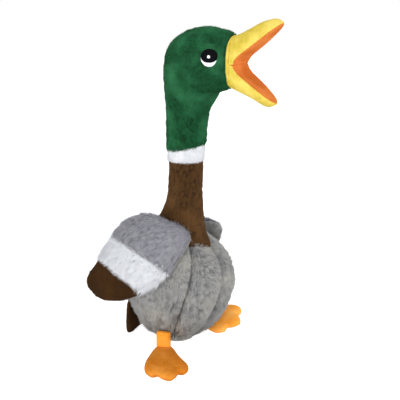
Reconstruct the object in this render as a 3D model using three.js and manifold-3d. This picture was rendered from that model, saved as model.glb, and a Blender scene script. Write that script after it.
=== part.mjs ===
// A long-necked plush duck for a dog: a round grey body, an upright neck, a green head with an
// open two-part beak, two wadded wings, a tail flap and two floppy webbed feet.
// Millimetres. +X is the duck's front, +Y its left, +Z up. The origin is on the floor, at the
// centre of the flat round panel that the body sits on.

import * as THREE from 'three';
import { mergeVertices } from 'three/addons/utils/BufferGeometryUtils.js';
import Module from 'manifold-3d';

const wasm = await Module();
wasm.setup();

// Cloth and clearances
const COVER = 2;            // thickness of a plush cover
const LAYER_GAP = 0.3;      // between a cover and the wadding that it holds
const SEAM_GAP = 0.4;       // between two cover panels at a seam
const JOINT_GAP = 0.8;      // between a moving piece and what carries it

// Body
const BODY_RADIUS = 72;
const BODY_MIDDLE = 86;     // height at which the egg-shaped body is widest
const BODY_CROWN = 58;      // from there to where its top would close
const BASE_RADIUS = 26;     // the flat round panel underneath
const BASE_TURN = 12;       // height over which the flat base turns up into the egg
const FLARE_START = 46;     // degrees of latitude where the egg turns up into the neck
const FLARE_RIM = 26.5;     // radius of the brown flare where the neck leaves it
const LEAN_START = 125;     // height above which the flare leans forward to the neck
const BIB_RADIUS = 34;      // the brown bib on top of the body, seen from above
const BIB_CENTRE = 4;
const BIB_TIP = 44;         // how far forward its point reaches
const BIB_FLOOR = 90;       // a height below the whole bib
const GORE_SEAMS = [0, 45, 115, 180, 245, 315];   // degrees from the front

// Neck
const NECK_X = 9.5;         // the neck stands a little forward of the body's centre
const NECK_RADIUS = 21.8;
const NECK_BASE_HEIGHT = 186;
const RIM_STEP = 10;        // from a neck joint's centre to the rim of the socket round it
const FLARE_HEIGHT = NECK_BASE_HEIGHT - RIM_STEP;
const SWAY_X = 11;
const SWAY_HEIGHT = 228;
const COLLAR_RADIUS = 23.7;
const COLLAR_TOP = 260;
const GREEN_NECK_RADIUS = 24.8;
const NOD_X = 15;
const NOD_HEIGHT = 306;
const CAP_SHARE = 0.86;     // how much of a neck's round end its cover goes over

// Head
const HEAD_BACK = -16;
const HEAD_FRONT = 72;      // the flat oval where the beak is sewn on
const HEAD_HALF_HEIGHT = 39.5;
const HEAD_FACE_HALF_HEIGHT = 32;
const HEAD_FACE_RISE = 3;    // how much higher the face's middle is than the back of the head
const HEAD_HEIGHT = 361;
const HEAD_WIDTH_SHARE = 0.81;
const THROAT_RADIUS = 27.2; // where the head's throat takes over from the neck
const THROAT_BULGE = 29.8;
const THROAT_RISE = 14;     // from the throat's rim to its fullest part
const THROAT_TOP = 345;
const EYE_RADIUS = 10.4;
const EYE_X = 60;
const EYE_HEIGHT = 368;
const EYE_THICKNESS = 1.4;
const EYE_TURN = 72;        // direction that an eye faces, in degrees from the front
const PUPIL_RADIUS = 8.2;
const PUPIL_THICKNESS = 0.8;
const GLINT_RADIUS = 2.1;
const GLINT_RISE = 1.4;

// Beak
const BEAK_HINGE = [82, 360];     // x and z of the corner of the mouth
const BEAK_ROOT_FRONT = 79.5;
const GAPE = 39;                  // degrees that each half stands open from the middle
const UPPER_BEAK_LENGTH = 75;
const LOWER_BEAK_LENGTH = 68;
const BEAK_BURIED = 27;           // how far a half's form runs on behind its hinge
const BEAK_HALF_WIDTH = 20;
const UPPER_BEAK_ARCH = 1.16;     // height of the arch as a share of the half width
const LOWER_BEAK_ARCH = 0.97;
const LINING = 2.4;
const FOLD_RADIUS = 2.6;          // the rolled fold in the corner of the mouth
const BEAK_ROOT_HEIGHT = 363;

// Wings
const WING_LENGTH = 144;
const WING_HALF_WIDTH = 50;
const WING_PUFF = 0.22;           // thickness as a share of the width
const WING_STAND_OFF = 11.9;      // from the body to the wing's middle layer
const WING_ROOT = [11, -38.6, 80];       // from the body's middle
const WING_TIP = [-54, -94.5, -2.3];
const WING_START = -14;           // where the root edge lies before the root point
const WING_ROOT_SKEW = 20;        // the root edge leans forward and the tip backward
const WING_TIP_SKEW = 10;
const WING_FLAT_SHARE = 0.36;     // the wing lies straight for this share of its length
const WING_CURL = 150;            // radius that the wing curls to across, round the body
const WING_DROOP = 500;           // and along its length
const WING_TURN = -88;            // direction that the right wing faces, in degrees from the front
const WING_RISE = 33;
const LEFT_WING_BACK = 22;        // degrees that the left wing is sewn further round to the back
const LEFT_WING_DROP = 26;         // and degrees further down than the right one
const WHITE_BAND_START = 53;
const WHITE_BAND_END = 86;
const BAND_SLANT = 13;

// Tail
const TAIL_WIDTH = 66;
const TAIL_LENGTH = 46;
const TAIL_THICKNESS = 9;
const TAIL_STAND_OFF = 3.3;       // from the body to the tail's middle layer at its seam
const TAIL_SEAM_HEIGHT = 48;
const TAIL_LEAN = 3;

// Legs and feet
const LEG_THICKNESS = 8;
const LEG_WIDTH = 17;
const LEG_LATITUDE = -41;         // where on the body the leg is sewn in
const RIGHT_LEG_TURN = -78;
const LEFT_LEG_TURN = 94;
const RIGHT_ANKLE_HEIGHT = 9.5;
const LEFT_ANKLE_HEIGHT = 19.5;   // the left foot stands on its inner edge
const RIGHT_FOOT_TURN = -52;      // where the toes point, in degrees from the front
const LEFT_FOOT_TURN = -8;
const LEFT_FOOT_ROLL = 24;
const FOOT_LENGTH = 73;
const SIDE_TOE_LENGTH = 67;
const TOE_SPREAD = 48;            // degrees between toes, seen from the middle of the foot
const FOOT_MIDDLE = 34;           // from the ankle to the middle of the foot
const FOOT_HALF_WIDTH = 25;
const FOOT_WEB_DEPTH = 31;        // from the middle of the foot to the notch between two toes
const HEEL_REACH = 34;            // from the middle of the foot to the back of the heel
const FOOT_SIDES = 30;
const FOOT_THICKNESS = 14;
const FOOT_COVER = 1.6;
const FOOT_SEAM_DROP = 2;         // the seam round the foot runs this far below its middle
const FOOT_TREAD = 0.5;           // how much of the sole's roundness is pressed flat
const FOOT_LIFT = 0.4;

// Squeaker
const SQUEAKER_RADIUS = 17;
const SQUEAKER_WALL = 1.2;
const SQUEAKER_HEIGHT = 46;
const SQUEAKER_TUBE_RADIUS = 5;
const SQUEAKER_TUBE_LENGTH = 17;
const SQUEAKER_BORE = 1.5;
const SQUEAKER_NECK = 9;          // length of the tube below the bulb

const GREY = 0x9b9b9d;
const BROWN = 0x553419;
const DARK_BROWN = 0x40240c;
const WHITE = 0xe8e8ec;
const GREEN = 0x1f5a38;
const YELLOW = 0xead64f;
const ORANGE = 0xf2941f;
const BEAK_ORANGE = 0xea7f2a;
const WADDING = 0xf1efe8;
const BLACK = 0x111418;

const REACH = 500;          // further than any part of the duck
const LAYER = COVER + LAYER_GAP;
const rad = THREE.MathUtils.degToRad;
const duck = new THREE.Group();

// Joining and cutting

function toSolid(geometry) {
  const bare = geometry.clone();
  bare.deleteAttribute('normal');
  bare.deleteAttribute('uv');
  const merged = mergeVertices(bare, 1e-3);
  return new wasm.Manifold(new wasm.Mesh({
    numProp: 3,
    vertProperties: new Float32Array(merged.attributes.position.array),
    triVerts: new Uint32Array(merged.index.array),
  }));
}

function toGeometry(solid) {
  const { vertProperties, triVerts } = solid.getMesh();
  const geometry = new THREE.BufferGeometry();
  geometry.setAttribute('position', new THREE.BufferAttribute(vertProperties, 3));
  geometry.setIndex(new THREE.BufferAttribute(triVerts, 1));
  geometry.computeVertexNormals();
  return geometry;
}

function addPiece(name, shape, color, parent = duck, roughness = 0.95) {
  const geometry = shape.isBufferGeometry ? shape : toGeometry(shape);
  const material = new THREE.MeshStandardMaterial({ color, roughness, metalness: 0 });
  const mesh = new THREE.Mesh(geometry, material);
  mesh.name = name;
  parent.add(mesh);
  return mesh;
}

function ball(radius, x, y, z, sides = 20) {
  return toSolid(new THREE.SphereGeometry(radius, sides, sides / 2).translate(x, y, z));
}

function block(low, high) {
  const size = high.map((value, axis) => value - low[axis]);
  const centre = high.map((value, axis) => (value + low[axis]) / 2);
  return toSolid(new THREE.BoxGeometry(...size).translate(...centre));
}

// The space between two heights
function slab(low, high) {
  return block([-REACH, -REACH, low], [REACH, REACH, high]);
}

function turnedSolid(profile, sides = 20) {
  const points = profile.map(([x, y]) => new THREE.Vector2(x, y));
  return toSolid(new THREE.LatheGeometry(points, sides).rotateX(Math.PI / 2));
}

// A stuffed form: an outline turned about its long axis, smoothed between its few points, then
// flattened to an oval section and moved sideways along its length. The same form drawn
// smaller by the thickness of the cover is the wadding inside it.

function stuffedForm({ outline, steps = 1, sides = 16, flat = 1, drift, bend, turned = false }) {
  const widest = Math.max(...outline.map(([radius]) => radius));
  return (inset = 0) => {
    const points = outline.map(([radius, along]) => new THREE.Vector2(radius, along));
    const curve = new THREE.SplineCurve(points);
    const profile = curve.getPoints((outline.length - 1) * steps);
    const shrunk = profile.map((point, index) => {
      const before = profile[Math.max(index - 1, 0)];
      const after = profile[Math.min(index + 1, profile.length - 1)];
      const tangent = after.clone().sub(before).normalize();
      const x = Math.max(point.x - tangent.y * inset, 0);
      return new THREE.Vector2(x, point.y + tangent.x * inset);
    });
    shrunk[0].x = 0;
    shrunk[shrunk.length - 1].x = 0;
    shrunk[0].y = profile[0].y + inset;
    shrunk[shrunk.length - 1].y = profile[profile.length - 1].y - inset;
    const geometry = new THREE.LatheGeometry(shrunk, sides).rotateX(Math.PI / 2);
    const share = (flat * widest - inset) / (widest - inset);
    geometry.scale(turned ? share : 1, turned ? 1 : share, 1);
    const position = geometry.attributes.position;
    const point = new THREE.Vector3();
    for (let index = 0; index < position.count; index += 1) {
      point.fromBufferAttribute(position, index);
      if (drift) point.x += drift(point.z);
      if (bend) bend(point);
      position.setXYZ(index, point.x, point.y, point.z);
    }
    return toSolid(geometry);
  };
}

function coverOf(form) {
  return form(0).subtract(form(COVER));
}

function waddingOf(form) {
  return form(LAYER);
}

// Half of the space on one side of the middle seam
function sideSpace(side) {
  const near = SEAM_GAP / 2;
  return side > 0
    ? block([-REACH, near, -REACH], [REACH, REACH, REACH])
    : block([-REACH, -REACH, -REACH], [REACH, -near, REACH]);
}

const SIDES = [['left', 1], ['right', -1]];

// Body: six grey gores, a brown bib that flares up to the neck and a flat base panel

// Radius and height of the egg at a latitude: it narrows slowly to the floor, fast to the neck
function onEgg(latitude) {
  const reach = latitude > 0 ? BODY_CROWN : BODY_MIDDLE;
  return [BODY_RADIUS * Math.cos(latitude), BODY_MIDDLE + reach * Math.sin(latitude)];
}

function bodyOutline() {
  const rim = 0.2;
  const points = [[0, 0], [BASE_RADIUS * 0.55, 0], [BASE_RADIUS, rim]];
  const turnUp = Math.asin((BASE_TURN - BODY_MIDDLE) / BODY_MIDDLE);
  const flare = rad(FLARE_START);
  const arcs = 8;
  for (let step = 0; step <= arcs; step += 1) {
    points.push(onEgg(turnUp + ((flare - turnUp) * step) / arcs));
  }
  const shoulder = BODY_MIDDLE + BODY_CROWN * Math.sin(flare);
  const rise = FLARE_HEIGHT - shoulder;
  const spread = BODY_RADIUS * Math.cos(flare) - FLARE_RIM;
  points.push([FLARE_RIM + spread * 0.5, shoulder + rise * 0.25]);
  points.push([FLARE_RIM + spread * 0.2, shoulder + rise * 0.55]);
  points.push([FLARE_RIM, FLARE_HEIGHT]);
  return points;
}

function neckDrift(height) {
  return NECK_X * THREE.MathUtils.smoothstep(height, LEAN_START, FLARE_HEIGHT);
}

function bodySolid(inset) {
  const points = bodyOutline().map(([radius, height]) => new THREE.Vector2(radius, height));
  const underneath = 2;
  const curved = new THREE.SplineCurve(points.slice(underneath));
  const profile = points.slice(0, underneath).concat(
    curved.getPoints(points.length - underneath - 1),
  );
  const shrunk = profile.map((point, index) => {
    const before = profile[Math.max(index - 1, 0)];
    const after = profile[Math.min(index + 1, profile.length - 1)];
    const tangent = after.clone().sub(before).normalize();
    const x = Math.max(point.x - tangent.y * inset, 0);
    return new THREE.Vector2(x, point.y + tangent.x * inset);
  });
  const top = shrunk[shrunk.length - 1];
  top.y = profile[profile.length - 1].y;
  shrunk.push(new THREE.Vector2(0, top.y));
  const sides = 24;
  const geometry = new THREE.LatheGeometry(shrunk, sides).rotateX(Math.PI / 2);
  const position = geometry.attributes.position;
  for (let index = 0; index < position.count; index += 1) {
    position.setX(index, position.getX(index) + neckDrift(position.getZ(index)));
  }
  return toSolid(geometry);
}

// The bib seen from above: a circle round the neck that runs out to a point in front. A sharp
// point moves further than the sides do when the bib grows, and the point is a little hollow.
function bibSpace(grow) {
  const radius = BIB_RADIUS + grow;
  const tipGrowth = 1.6;
  const hollow = 0.8;
  const tip = BIB_TIP + grow * tipGrowth;
  const open = Math.acos(radius / (tip - BIB_CENTRE)) * hollow;
  const outline = new THREE.Shape();
  outline.absarc(BIB_CENTRE, 0, radius, open, 2 * Math.PI - open, false);
  outline.lineTo(tip, 0);
  outline.closePath();
  const options = { depth: REACH, bevelEnabled: false, curveSegments: 12 };
  return toSolid(new THREE.ExtrudeGeometry(outline, options).translate(0, 0, BIB_FLOOR));
}

// The upright wedge of space between two seams
function goreSpace(from, to) {
  const middle = rad((from + to) / 2);
  const half = rad((to - from) / 2);
  const apex = SEAM_GAP / 2 / Math.sin(half);
  const along = REACH * Math.cos(half);
  const across = REACH * Math.sin(half);
  const wedge = new THREE.Shape();
  wedge.moveTo(apex, 0);
  wedge.lineTo(apex + along, -across);
  wedge.lineTo(apex + 2 * along, 0);
  wedge.lineTo(apex + along, across);
  wedge.closePath();
  const options = { depth: 2 * REACH, bevelEnabled: false };
  const upright = new THREE.ExtrudeGeometry(wedge, options).rotateZ(middle);
  return toSolid(upright.translate(0, 0, -REACH));
}

function squeakerPocket() {
  const radius = SQUEAKER_RADIUS + JOINT_GAP;
  const shoulder = LAYER + SQUEAKER_HEIGHT * 0.75;
  const roof = LAYER + SQUEAKER_HEIGHT + 3;
  return turnedSolid([[0, -1], [radius, -1], [radius, shoulder], [radius * 0.6, roof - 1],
    [0, roof]]);
}

function makeBody() {
  const outer = bodySolid(0);
  const shell = outer.subtract(bodySolid(COVER));
  const socket = ball(NECK_RADIUS + JOINT_GAP, NECK_X, 0, NECK_BASE_HEIGHT);
  const baseReach = BASE_RADIUS + SEAM_GAP;
  const baseSpace = block([-baseReach, -baseReach, -1], [baseReach, baseReach, LAYER]);
  const bib = shell.intersect(bibSpace(-SEAM_GAP / 2)).subtract(socket);
  addPiece('bib', bib, BROWN);
  const grey = shell.subtract(bibSpace(SEAM_GAP / 2)).subtract(baseSpace);
  GORE_SEAMS.forEach((seam, index) => {
    const next = index + 1 < GORE_SEAMS.length ? GORE_SEAMS[index + 1] : GORE_SEAMS[0] + 360;
    addPiece(`body_gore_${index + 1}`, grey.intersect(goreSpace(seam, next)), GREY);
  });
  const wadding = bodySolid(LAYER).subtract(socket).subtract(squeakerPocket());
  addPiece('body_wadding', wadding, WADDING);
  const edge = 0.6;
  const disc = turnedSolid([[0, 0], [BASE_RADIUS - edge, 0], [BASE_RADIUS, edge],
    [BASE_RADIUS, COVER], [0, COVER]], 32);
  addPiece('base_panel', disc, GREY);
}

// Squeaker: a soft bellows with a whistle tube in its mouth, in a pocket above the base panel

function makeSqueaker() {
  const wall = SQUEAKER_WALL;
  const mouth = SQUEAKER_TUBE_RADIUS + 0.4;
  const inner = SQUEAKER_RADIUS - wall;
  const waist = LAYER + SQUEAKER_NECK;
  const top = LAYER + SQUEAKER_HEIGHT;
  const flare = 6;
  const dome = 12;
  const outside = [[mouth, waist - wall], [mouth + wall, waist - wall],
    [SQUEAKER_RADIUS, waist + flare - wall / 2], [SQUEAKER_RADIUS, top - dome + wall / 2],
    [SQUEAKER_RADIUS * 0.6, top - wall], [0, top]];
  const inside = [[0, top - wall], [inner * 0.6, top - 3 * wall], [inner, top - dome],
    [inner, waist + flare], [mouth, waist], [mouth, waist - wall]];
  addPiece('squeaker_bulb', turnedSolid(outside.concat(inside)), WADDING, duck, 0.5);
  const low = LAYER + 0.1;
  const high = low + SQUEAKER_TUBE_LENGTH;
  const tube = [[SQUEAKER_BORE, low], [SQUEAKER_TUBE_RADIUS, low], [SQUEAKER_TUBE_RADIUS, high],
    [SQUEAKER_BORE, high], [SQUEAKER_BORE, low]];
  addPiece('squeaker_tube', turnedSolid(tube), WADDING, duck, 0.4);
}

// Neck: a brown lower length and a green upper one, each round-ended where it bends

function roundEnded(radius, from, to, driftFrom, driftTo, cap) {
  const outline = [];
  const caps = 3;
  for (let step = 0; step <= caps; step += 1) {
    const angle = (Math.PI / 2) * (step / caps);
    outline.push([radius * Math.sin(angle), from - radius * Math.cos(angle)]);
  }
  for (let step = caps; step >= 0; step -= 1) {
    const angle = (Math.PI / 2) * (step / caps);
    outline.push([cap * Math.sin(angle), to + cap * Math.cos(angle)]);
  }
  const drift = (along) => {
    const share = THREE.MathUtils.clamp((along - from) / (to - from), 0, 1);
    return driftFrom + (driftTo - driftFrom) * share;
  };
  return stuffedForm({ outline, drift });
}

function makeNeck() {
  const lower = roundEnded(NECK_RADIUS, NECK_BASE_HEIGHT, SWAY_HEIGHT, NECK_X, SWAY_X, NECK_RADIUS);
  const capRoom = NECK_RADIUS * CAP_SHARE;
  const trim = slab(NECK_BASE_HEIGHT - capRoom, SWAY_HEIGHT + capRoom);
  const lowerCover = coverOf(lower).intersect(trim);
  SIDES.forEach(([word, side]) => {
    addPiece(`neck_cover_${word}`, lowerCover.intersect(sideSpace(side)), BROWN);
  });
  addPiece('neck_wadding', waddingOf(lower), WADDING);

  const rim = SWAY_HEIGHT + RIM_STEP;
  const socket = ball(NECK_RADIUS + JOINT_GAP, SWAY_X, 0, SWAY_HEIGHT);
  const greenEnd = GREEN_NECK_RADIUS;
  const greenStart = COLLAR_TOP + 8;
  const outline = [[0, rim], [COLLAR_RADIUS * 0.6, rim], [COLLAR_RADIUS, rim + 0.5],
    [COLLAR_RADIUS, COLLAR_TOP], [greenEnd, greenStart]];
  const caps = 3;
  for (let step = caps; step >= 0; step -= 1) {
    const angle = (Math.PI / 2) * (step / caps);
    outline.push([greenEnd * Math.sin(angle), NOD_HEIGHT + greenEnd * Math.cos(angle)]);
  }
  const drift = (along) => {
    const share = THREE.MathUtils.clamp((along - rim) / (NOD_HEIGHT - rim), 0, 1);
    return SWAY_X + (NOD_X - SWAY_X) * share;
  };
  const upper = stuffedForm({ outline, drift });
  const shell = coverOf(upper).subtract(socket);
  const collarSpace = slab(rim + LAYER, COLLAR_TOP - SEAM_GAP / 2);
  addPiece('white_collar', shell.intersect(collarSpace), WHITE);
  const greenSpace = slab(COLLAR_TOP + SEAM_GAP / 2, NOD_HEIGHT + greenEnd * CAP_SHARE);
  SIDES.forEach(([word, side]) => {
    const half = shell.intersect(greenSpace).intersect(sideSpace(side));
    addPiece(`throat_cover_${word}`, half, GREEN);
  });
  addPiece('throat_wadding', waddingOf(upper).subtract(socket), WADDING);
}

// Head: an egg lying along the duck's length, run into the throat, flat where the beak goes on

function headSolid(inset) {
  const back = HEAD_BACK;
  const front = HEAD_FRONT;
  const length = front - back;
  const tall = HEAD_HALF_HEIGHT;
  const face = HEAD_FACE_HALF_HEIGHT;
  const outline = [[0, back], [tall * 0.5, back + length * 0.07],
    [tall * 0.76, back + length * 0.23], [tall * 0.95, back + length * 0.42],
    [tall, back + length * 0.58], [tall * 0.96, back + length * 0.78],
    [tall * 0.88, back + length * 0.93], [face, front], [face * 0.5, front], [0, front]];
  const drift = (along) => -HEAD_FACE_RISE * THREE.MathUtils.smoothstep(along, 0, front);
  const egg = stuffedForm({ outline, sides: 20, flat: HEAD_WIDTH_SHARE, drift });
  return egg(inset).rotate([0, 90, 0]).translate([0, 0, HEAD_HEIGHT]);
}

function throatSolid(inset) {
  const rim = NOD_HEIGHT + RIM_STEP;
  const upper = (THROAT_RADIUS + THROAT_BULGE) / 2;
  const stub = turnedSolid([[0, rim], [THROAT_RADIUS - inset, rim],
    [THROAT_BULGE - inset, rim + THROAT_RISE], [upper - inset, THROAT_TOP], [0, THROAT_TOP]]);
  return stub.translate([NOD_X, 0, 0]);
}

function makeHead() {
  const socket = ball(GREEN_NECK_RADIUS + JOINT_GAP, NOD_X, 0, NOD_HEIGHT);
  const outer = headSolid(0).add(throatSolid(0));
  const inner = headSolid(COVER).add(throatSolid(COVER));
  const face = ball(HEAD_FACE_HALF_HEIGHT * 0.7, HEAD_FRONT, 0, HEAD_HEIGHT);
  const shell = outer.subtract(inner).subtract(socket).subtract(face);
  SIDES.forEach(([word, side]) => {
    addPiece(`head_cover_${word}`, shell.intersect(sideSpace(side)), GREEN);
  });
  const inside = block([-REACH, -REACH, NOD_HEIGHT + RIM_STEP + LAYER],
    [HEAD_FRONT - LAYER, REACH, REACH]);
  const wadding = headSolid(LAYER).add(throatSolid(LAYER)).intersect(inside);
  addPiece('head_wadding', wadding.subtract(socket), WADDING);
}

// Eyes: a white disc on each side of the head, a black pupil on it and a white glint, each a
// thin layer that follows the head

function eyeLayer(side, radius, up, from, to) {
  const layer = headSolid(-to).subtract(headSolid(-from));
  const length = 60;
  const inside = 20;    // the cutting rod starts this far inside the head
  const rod = new THREE.CylinderGeometry(radius, radius, length, 16);
  rod.translate(0, length / 2 + 10, 0);
  rod.rotateZ(-rad(90));
  rod.rotateZ(rad(side * EYE_TURN));
  rod.translate(EYE_X - Math.cos(rad(EYE_TURN)) * inside, side * 8, EYE_HEIGHT + up);
  return layer.intersect(toSolid(rod));
}

function makeEyes() {
  const stick = LAYER_GAP;
  const white = stick + EYE_THICKNESS;
  const pupil = white + stick + PUPIL_THICKNESS;
  const glint = pupil + stick + PUPIL_THICKNESS;
  const pupilRise = EYE_RADIUS - PUPIL_RADIUS - SEAM_GAP;
  SIDES.forEach(([word, side]) => {
    const disc = eyeLayer(side, EYE_RADIUS, 0, stick, white);
    addPiece(`eye_white_${word}`, disc, WHITE, duck, 0.4);
    const dark = eyeLayer(side, PUPIL_RADIUS, pupilRise, white + stick, pupil);
    addPiece(`eye_pupil_${word}`, dark, BLACK, duck, 0.3);
    const spark = eyeLayer(side, GLINT_RADIUS, GLINT_RISE, pupil + stick, glint);
    addPiece(`eye_glint_${word}`, spark, WHITE, duck, 0.3);
  });
}

// Beak: a yellow band on the face, and two arched halves with an orange lining, hinged at the
// corner of the mouth, where a rolled fold joins the linings

function beakBand(inset, longer = 0) {
  const tall = HEAD_FACE_HALF_HEIGHT - inset;
  const margin = 1;     // the band is this much wider on each side than the beak
  const width = (BEAK_HALF_WIDTH + margin - inset) / tall;
  const back = HEAD_FRONT + JOINT_GAP / 2 - longer;
  const front = BEAK_ROOT_FRONT - JOINT_GAP + longer;
  const disc = new THREE.CylinderGeometry(tall, tall, front - back, 28);
  disc.rotateZ(-rad(90));
  disc.scale(1, width, 1);
  disc.translate((front + back) / 2, 0, BEAK_ROOT_HEIGHT);
  return toSolid(disc);
}

function hingeRod(radius, halfWidth, sides) {
  const [x, z] = BEAK_HINGE;
  const rod = new THREE.CylinderGeometry(radius, radius, halfWidth * 2, sides);
  return toSolid(rod.translate(x, 0, z));
}

function beakForm(length, arch) {
  const wide = BEAK_HALF_WIDTH * arch;
  const behind = -BEAK_BURIED;
  const outline = [[0, behind], [wide * 0.8, behind * 0.93], [wide * 1.12, behind * 0.3],
    [wide * 1.06, length * 0.17], [wide * 0.9, length * 0.5], [wide * 0.72, length * 0.76],
    [wide * 0.45, length * 0.94], [0, length]];
  return stuffedForm({ outline, sides: 18, flat: 1 / arch });
}

function makeBeakHalf(word, length, arch, up) {
  const [hingeX, hingeZ] = BEAK_HINGE;
  const form = beakForm(length, arch);
  const arched = (from) => (up > 0
    ? block([-REACH, -REACH, -REACH], [-from, REACH, REACH])
    : block([from, -REACH, -REACH], [REACH, REACH, REACH]));
  const inward = LINING + LAYER_GAP;
  const cover = coverOf(form).intersect(arched(inward));
  const wadding = waddingOf(form).intersect(arched(inward));
  const lining = form(0).intersect(arched(0)).subtract(arched(LINING));
  const near = JOINT_GAP / 2;
  const side = up > 0
    ? block([BEAK_ROOT_FRONT, -REACH, hingeZ + near], [REACH, REACH, REACH * 2])
    : block([BEAK_ROOT_FRONT, -REACH, 0], [REACH, REACH, hingeZ - near]);
  const rod = hingeRod(FOLD_RADIUS + JOINT_GAP + LAYER_GAP, BEAK_HALF_WIDTH * 2, 20);
  const place = (solid) => solid
    .rotate([0, 90 - up * GAPE, 0])
    .translate([hingeX, 0, hingeZ])
    .intersect(side)
    .subtract(rod);
  addPiece(`${word}_beak_cover`, place(cover), YELLOW);
  addPiece(`${word}_beak_lining`, place(lining), BEAK_ORANGE);
  addPiece(`${word}_beak_wadding`, place(wadding), WADDING);
}

function makeBeak() {
  const fold = hingeRod(FOLD_RADIUS, BEAK_HALF_WIDTH * 0.85, 14);
  addPiece('beak_band', beakBand(0).subtract(beakBand(COVER, 1)), YELLOW);
  addPiece('beak_root_wadding', beakBand(LAYER), WADDING);
  addPiece('mouth_fold', fold, BEAK_ORANGE);
  makeBeakHalf('upper', UPPER_BEAK_LENGTH, UPPER_BEAK_ARCH, 1);
  makeBeakHalf('lower', LOWER_BEAK_LENGTH, LOWER_BEAK_ARCH, -1);
}

// Wings: flat pillows that hang from a seam beside the neck and lie on the body's flank

function wingPlace(back, drop) {
  const turn = rad(WING_TURN);
  const rise = rad(WING_RISE);
  const level = new THREE.Vector3(-Math.sin(turn), Math.cos(turn), 0);
  const shift = (point) => point
    .applyAxisAngle(level, rad(drop))
    .applyAxisAngle(new THREE.Vector3(0, 0, 1), -rad(back));
  const facing = shift(new THREE.Vector3(
    Math.cos(rise) * Math.cos(turn),
    Math.cos(rise) * Math.sin(turn),
    Math.sin(rise),
  ));
  const middle = new THREE.Vector3(0, 0, BODY_MIDDLE);
  const root = shift(new THREE.Vector3(...WING_ROOT)).add(middle);
  const tip = shift(new THREE.Vector3(...WING_TIP)).add(middle);
  const bulge = Math.hypot(BODY_RADIUS * Math.hypot(facing.x, facing.y), BODY_CROWN * facing.z);
  const centre = middle.addScaledVector(facing, bulge + WING_STAND_OFF);
  [root, tip].forEach((point) => {
    const off = centre.clone().sub(point).dot(facing);
    point.addScaledVector(facing, off);
  });
  const along = tip.clone().sub(root).normalize();
  const across = new THREE.Vector3().crossVectors(facing, along);
  return new THREE.Matrix4().makeBasis(across, facing, along).setPosition(root);
}

// How far the wing's middle layer curls in towards the body, across the wing and to its tip
function wingSink(across, along) {
  const beyond = Math.max(along - WING_LENGTH * WING_FLAT_SHARE, 0);
  return across ** 2 / (2 * WING_CURL) + beyond ** 2 / (2 * WING_DROOP);
}

function wingForm() {
  const half = WING_HALF_WIDTH;
  const length = WING_LENGTH;
  const start = WING_START;
  const outline = [[0, 0], [0.36, 0.02], [0.66, 0.1], [0.9, 0.22], [1, 0.39], [0.92, 0.61],
    [0.7, 0.79], [0.54, 0.89], [0.3, 0.97], [0, 1]];
  const points = outline.map(([width, share]) => [width * half, start + share * length]);
  const rootEnd = 25;
  const drift = (along) => {
    const root = THREE.MathUtils.smoothstep(-along, -rootEnd, -start);
    const tip = THREE.MathUtils.smoothstep(along, length * 0.62, length * 0.92);
    return root * WING_ROOT_SKEW - tip * WING_TIP_SKEW;
  };
  const bend = (point) => {
    point.y -= wingSink(point.x, point.z);
  };
  return stuffedForm({ outline: points, sides: 12, flat: WING_PUFF, drift, bend });
}

// The space outside the wing's curved middle layer, or inside it
function wingSide(side) {
  const reach = WING_LENGTH * 1.4;
  const sheet = new THREE.BoxGeometry(reach, reach, reach, 4, 1, 4);
  sheet.translate(0, (side * (reach + SEAM_GAP)) / 2, reach * 0.25);
  const position = sheet.attributes.position;
  for (let index = 0; index < position.count; index += 1) {
    const sunk = wingSink(position.getX(index), position.getZ(index));
    position.setY(index, position.getY(index) - sunk);
  }
  return toSolid(sheet);
}

function makeWings() {
  const form = wingForm();
  const band = (from, to) => slab(from + SEAM_GAP / 2, to - SEAM_GAP / 2)
    .rotate([0, -BAND_SLANT, 0]);
  const shell = coverOf(form);
  const top = shell.intersect(wingSide(1));
  const pieces = [
    ['wing_shoulder', top.intersect(band(-REACH, WHITE_BAND_START)), GREY],
    ['wing_white_band', top.intersect(band(WHITE_BAND_START, WHITE_BAND_END)), WHITE],
    ['wing_brown_tip', top.intersect(band(WHITE_BAND_END, REACH)), DARK_BROWN],
    ['wing_underside', shell.intersect(wingSide(-1)), GREY],
    ['wing_wadding', waddingOf(form), WADDING],
  ];
  const right = wingPlace(0, 0).elements;
  const left = wingPlace(LEFT_WING_BACK, LEFT_WING_DROP).elements;
  pieces.forEach(([name, solid, color]) => {
    addPiece(`${name}_right`, solid.transform(right), color);
    addPiece(`${name}_left`, solid.transform(left).mirror([0, 1, 0]), color);
  });
}

// Tail: a flat flap that hangs from the body's back down to the floor and curves round it

function makeTail() {
  const half = TAIL_WIDTH / 2;
  const length = TAIL_LENGTH;
  const outline = [[0, 0], [half * 0.7, 0.5], [half * 0.93, length * 0.2], [half, length * 0.5],
    [half * 0.84, length * 0.8], [half * 0.45, length * 0.97], [0, length]];
  const bend = (point) => {
    point.setX(point.x + point.y ** 2 / (2 * BODY_RADIUS));
  };
  const flat = TAIL_THICKNESS / TAIL_WIDTH;
  const form = stuffedForm({ outline, sides: 12, flat, turned: true, bend });
  const z = TAIL_SEAM_HEIGHT;
  const [reach] = onEgg(Math.asin((z - BODY_MIDDLE) / BODY_MIDDLE));
  const x = -reach - TAIL_STAND_OFF;
  const place = (solid) => solid.rotate([180, 0, 0]).rotate([0, TAIL_LEAN, 0]).translate([x, 0, z]);
  const shell = coverOf(form);
  addPiece('tail_cover_outer', place(shell.intersect(tailSide(-1))), DARK_BROWN);
  addPiece('tail_cover_inner', place(shell.intersect(tailSide(1))), DARK_BROWN);
  addPiece('tail_wadding', place(waddingOf(form)), WADDING);
}

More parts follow.
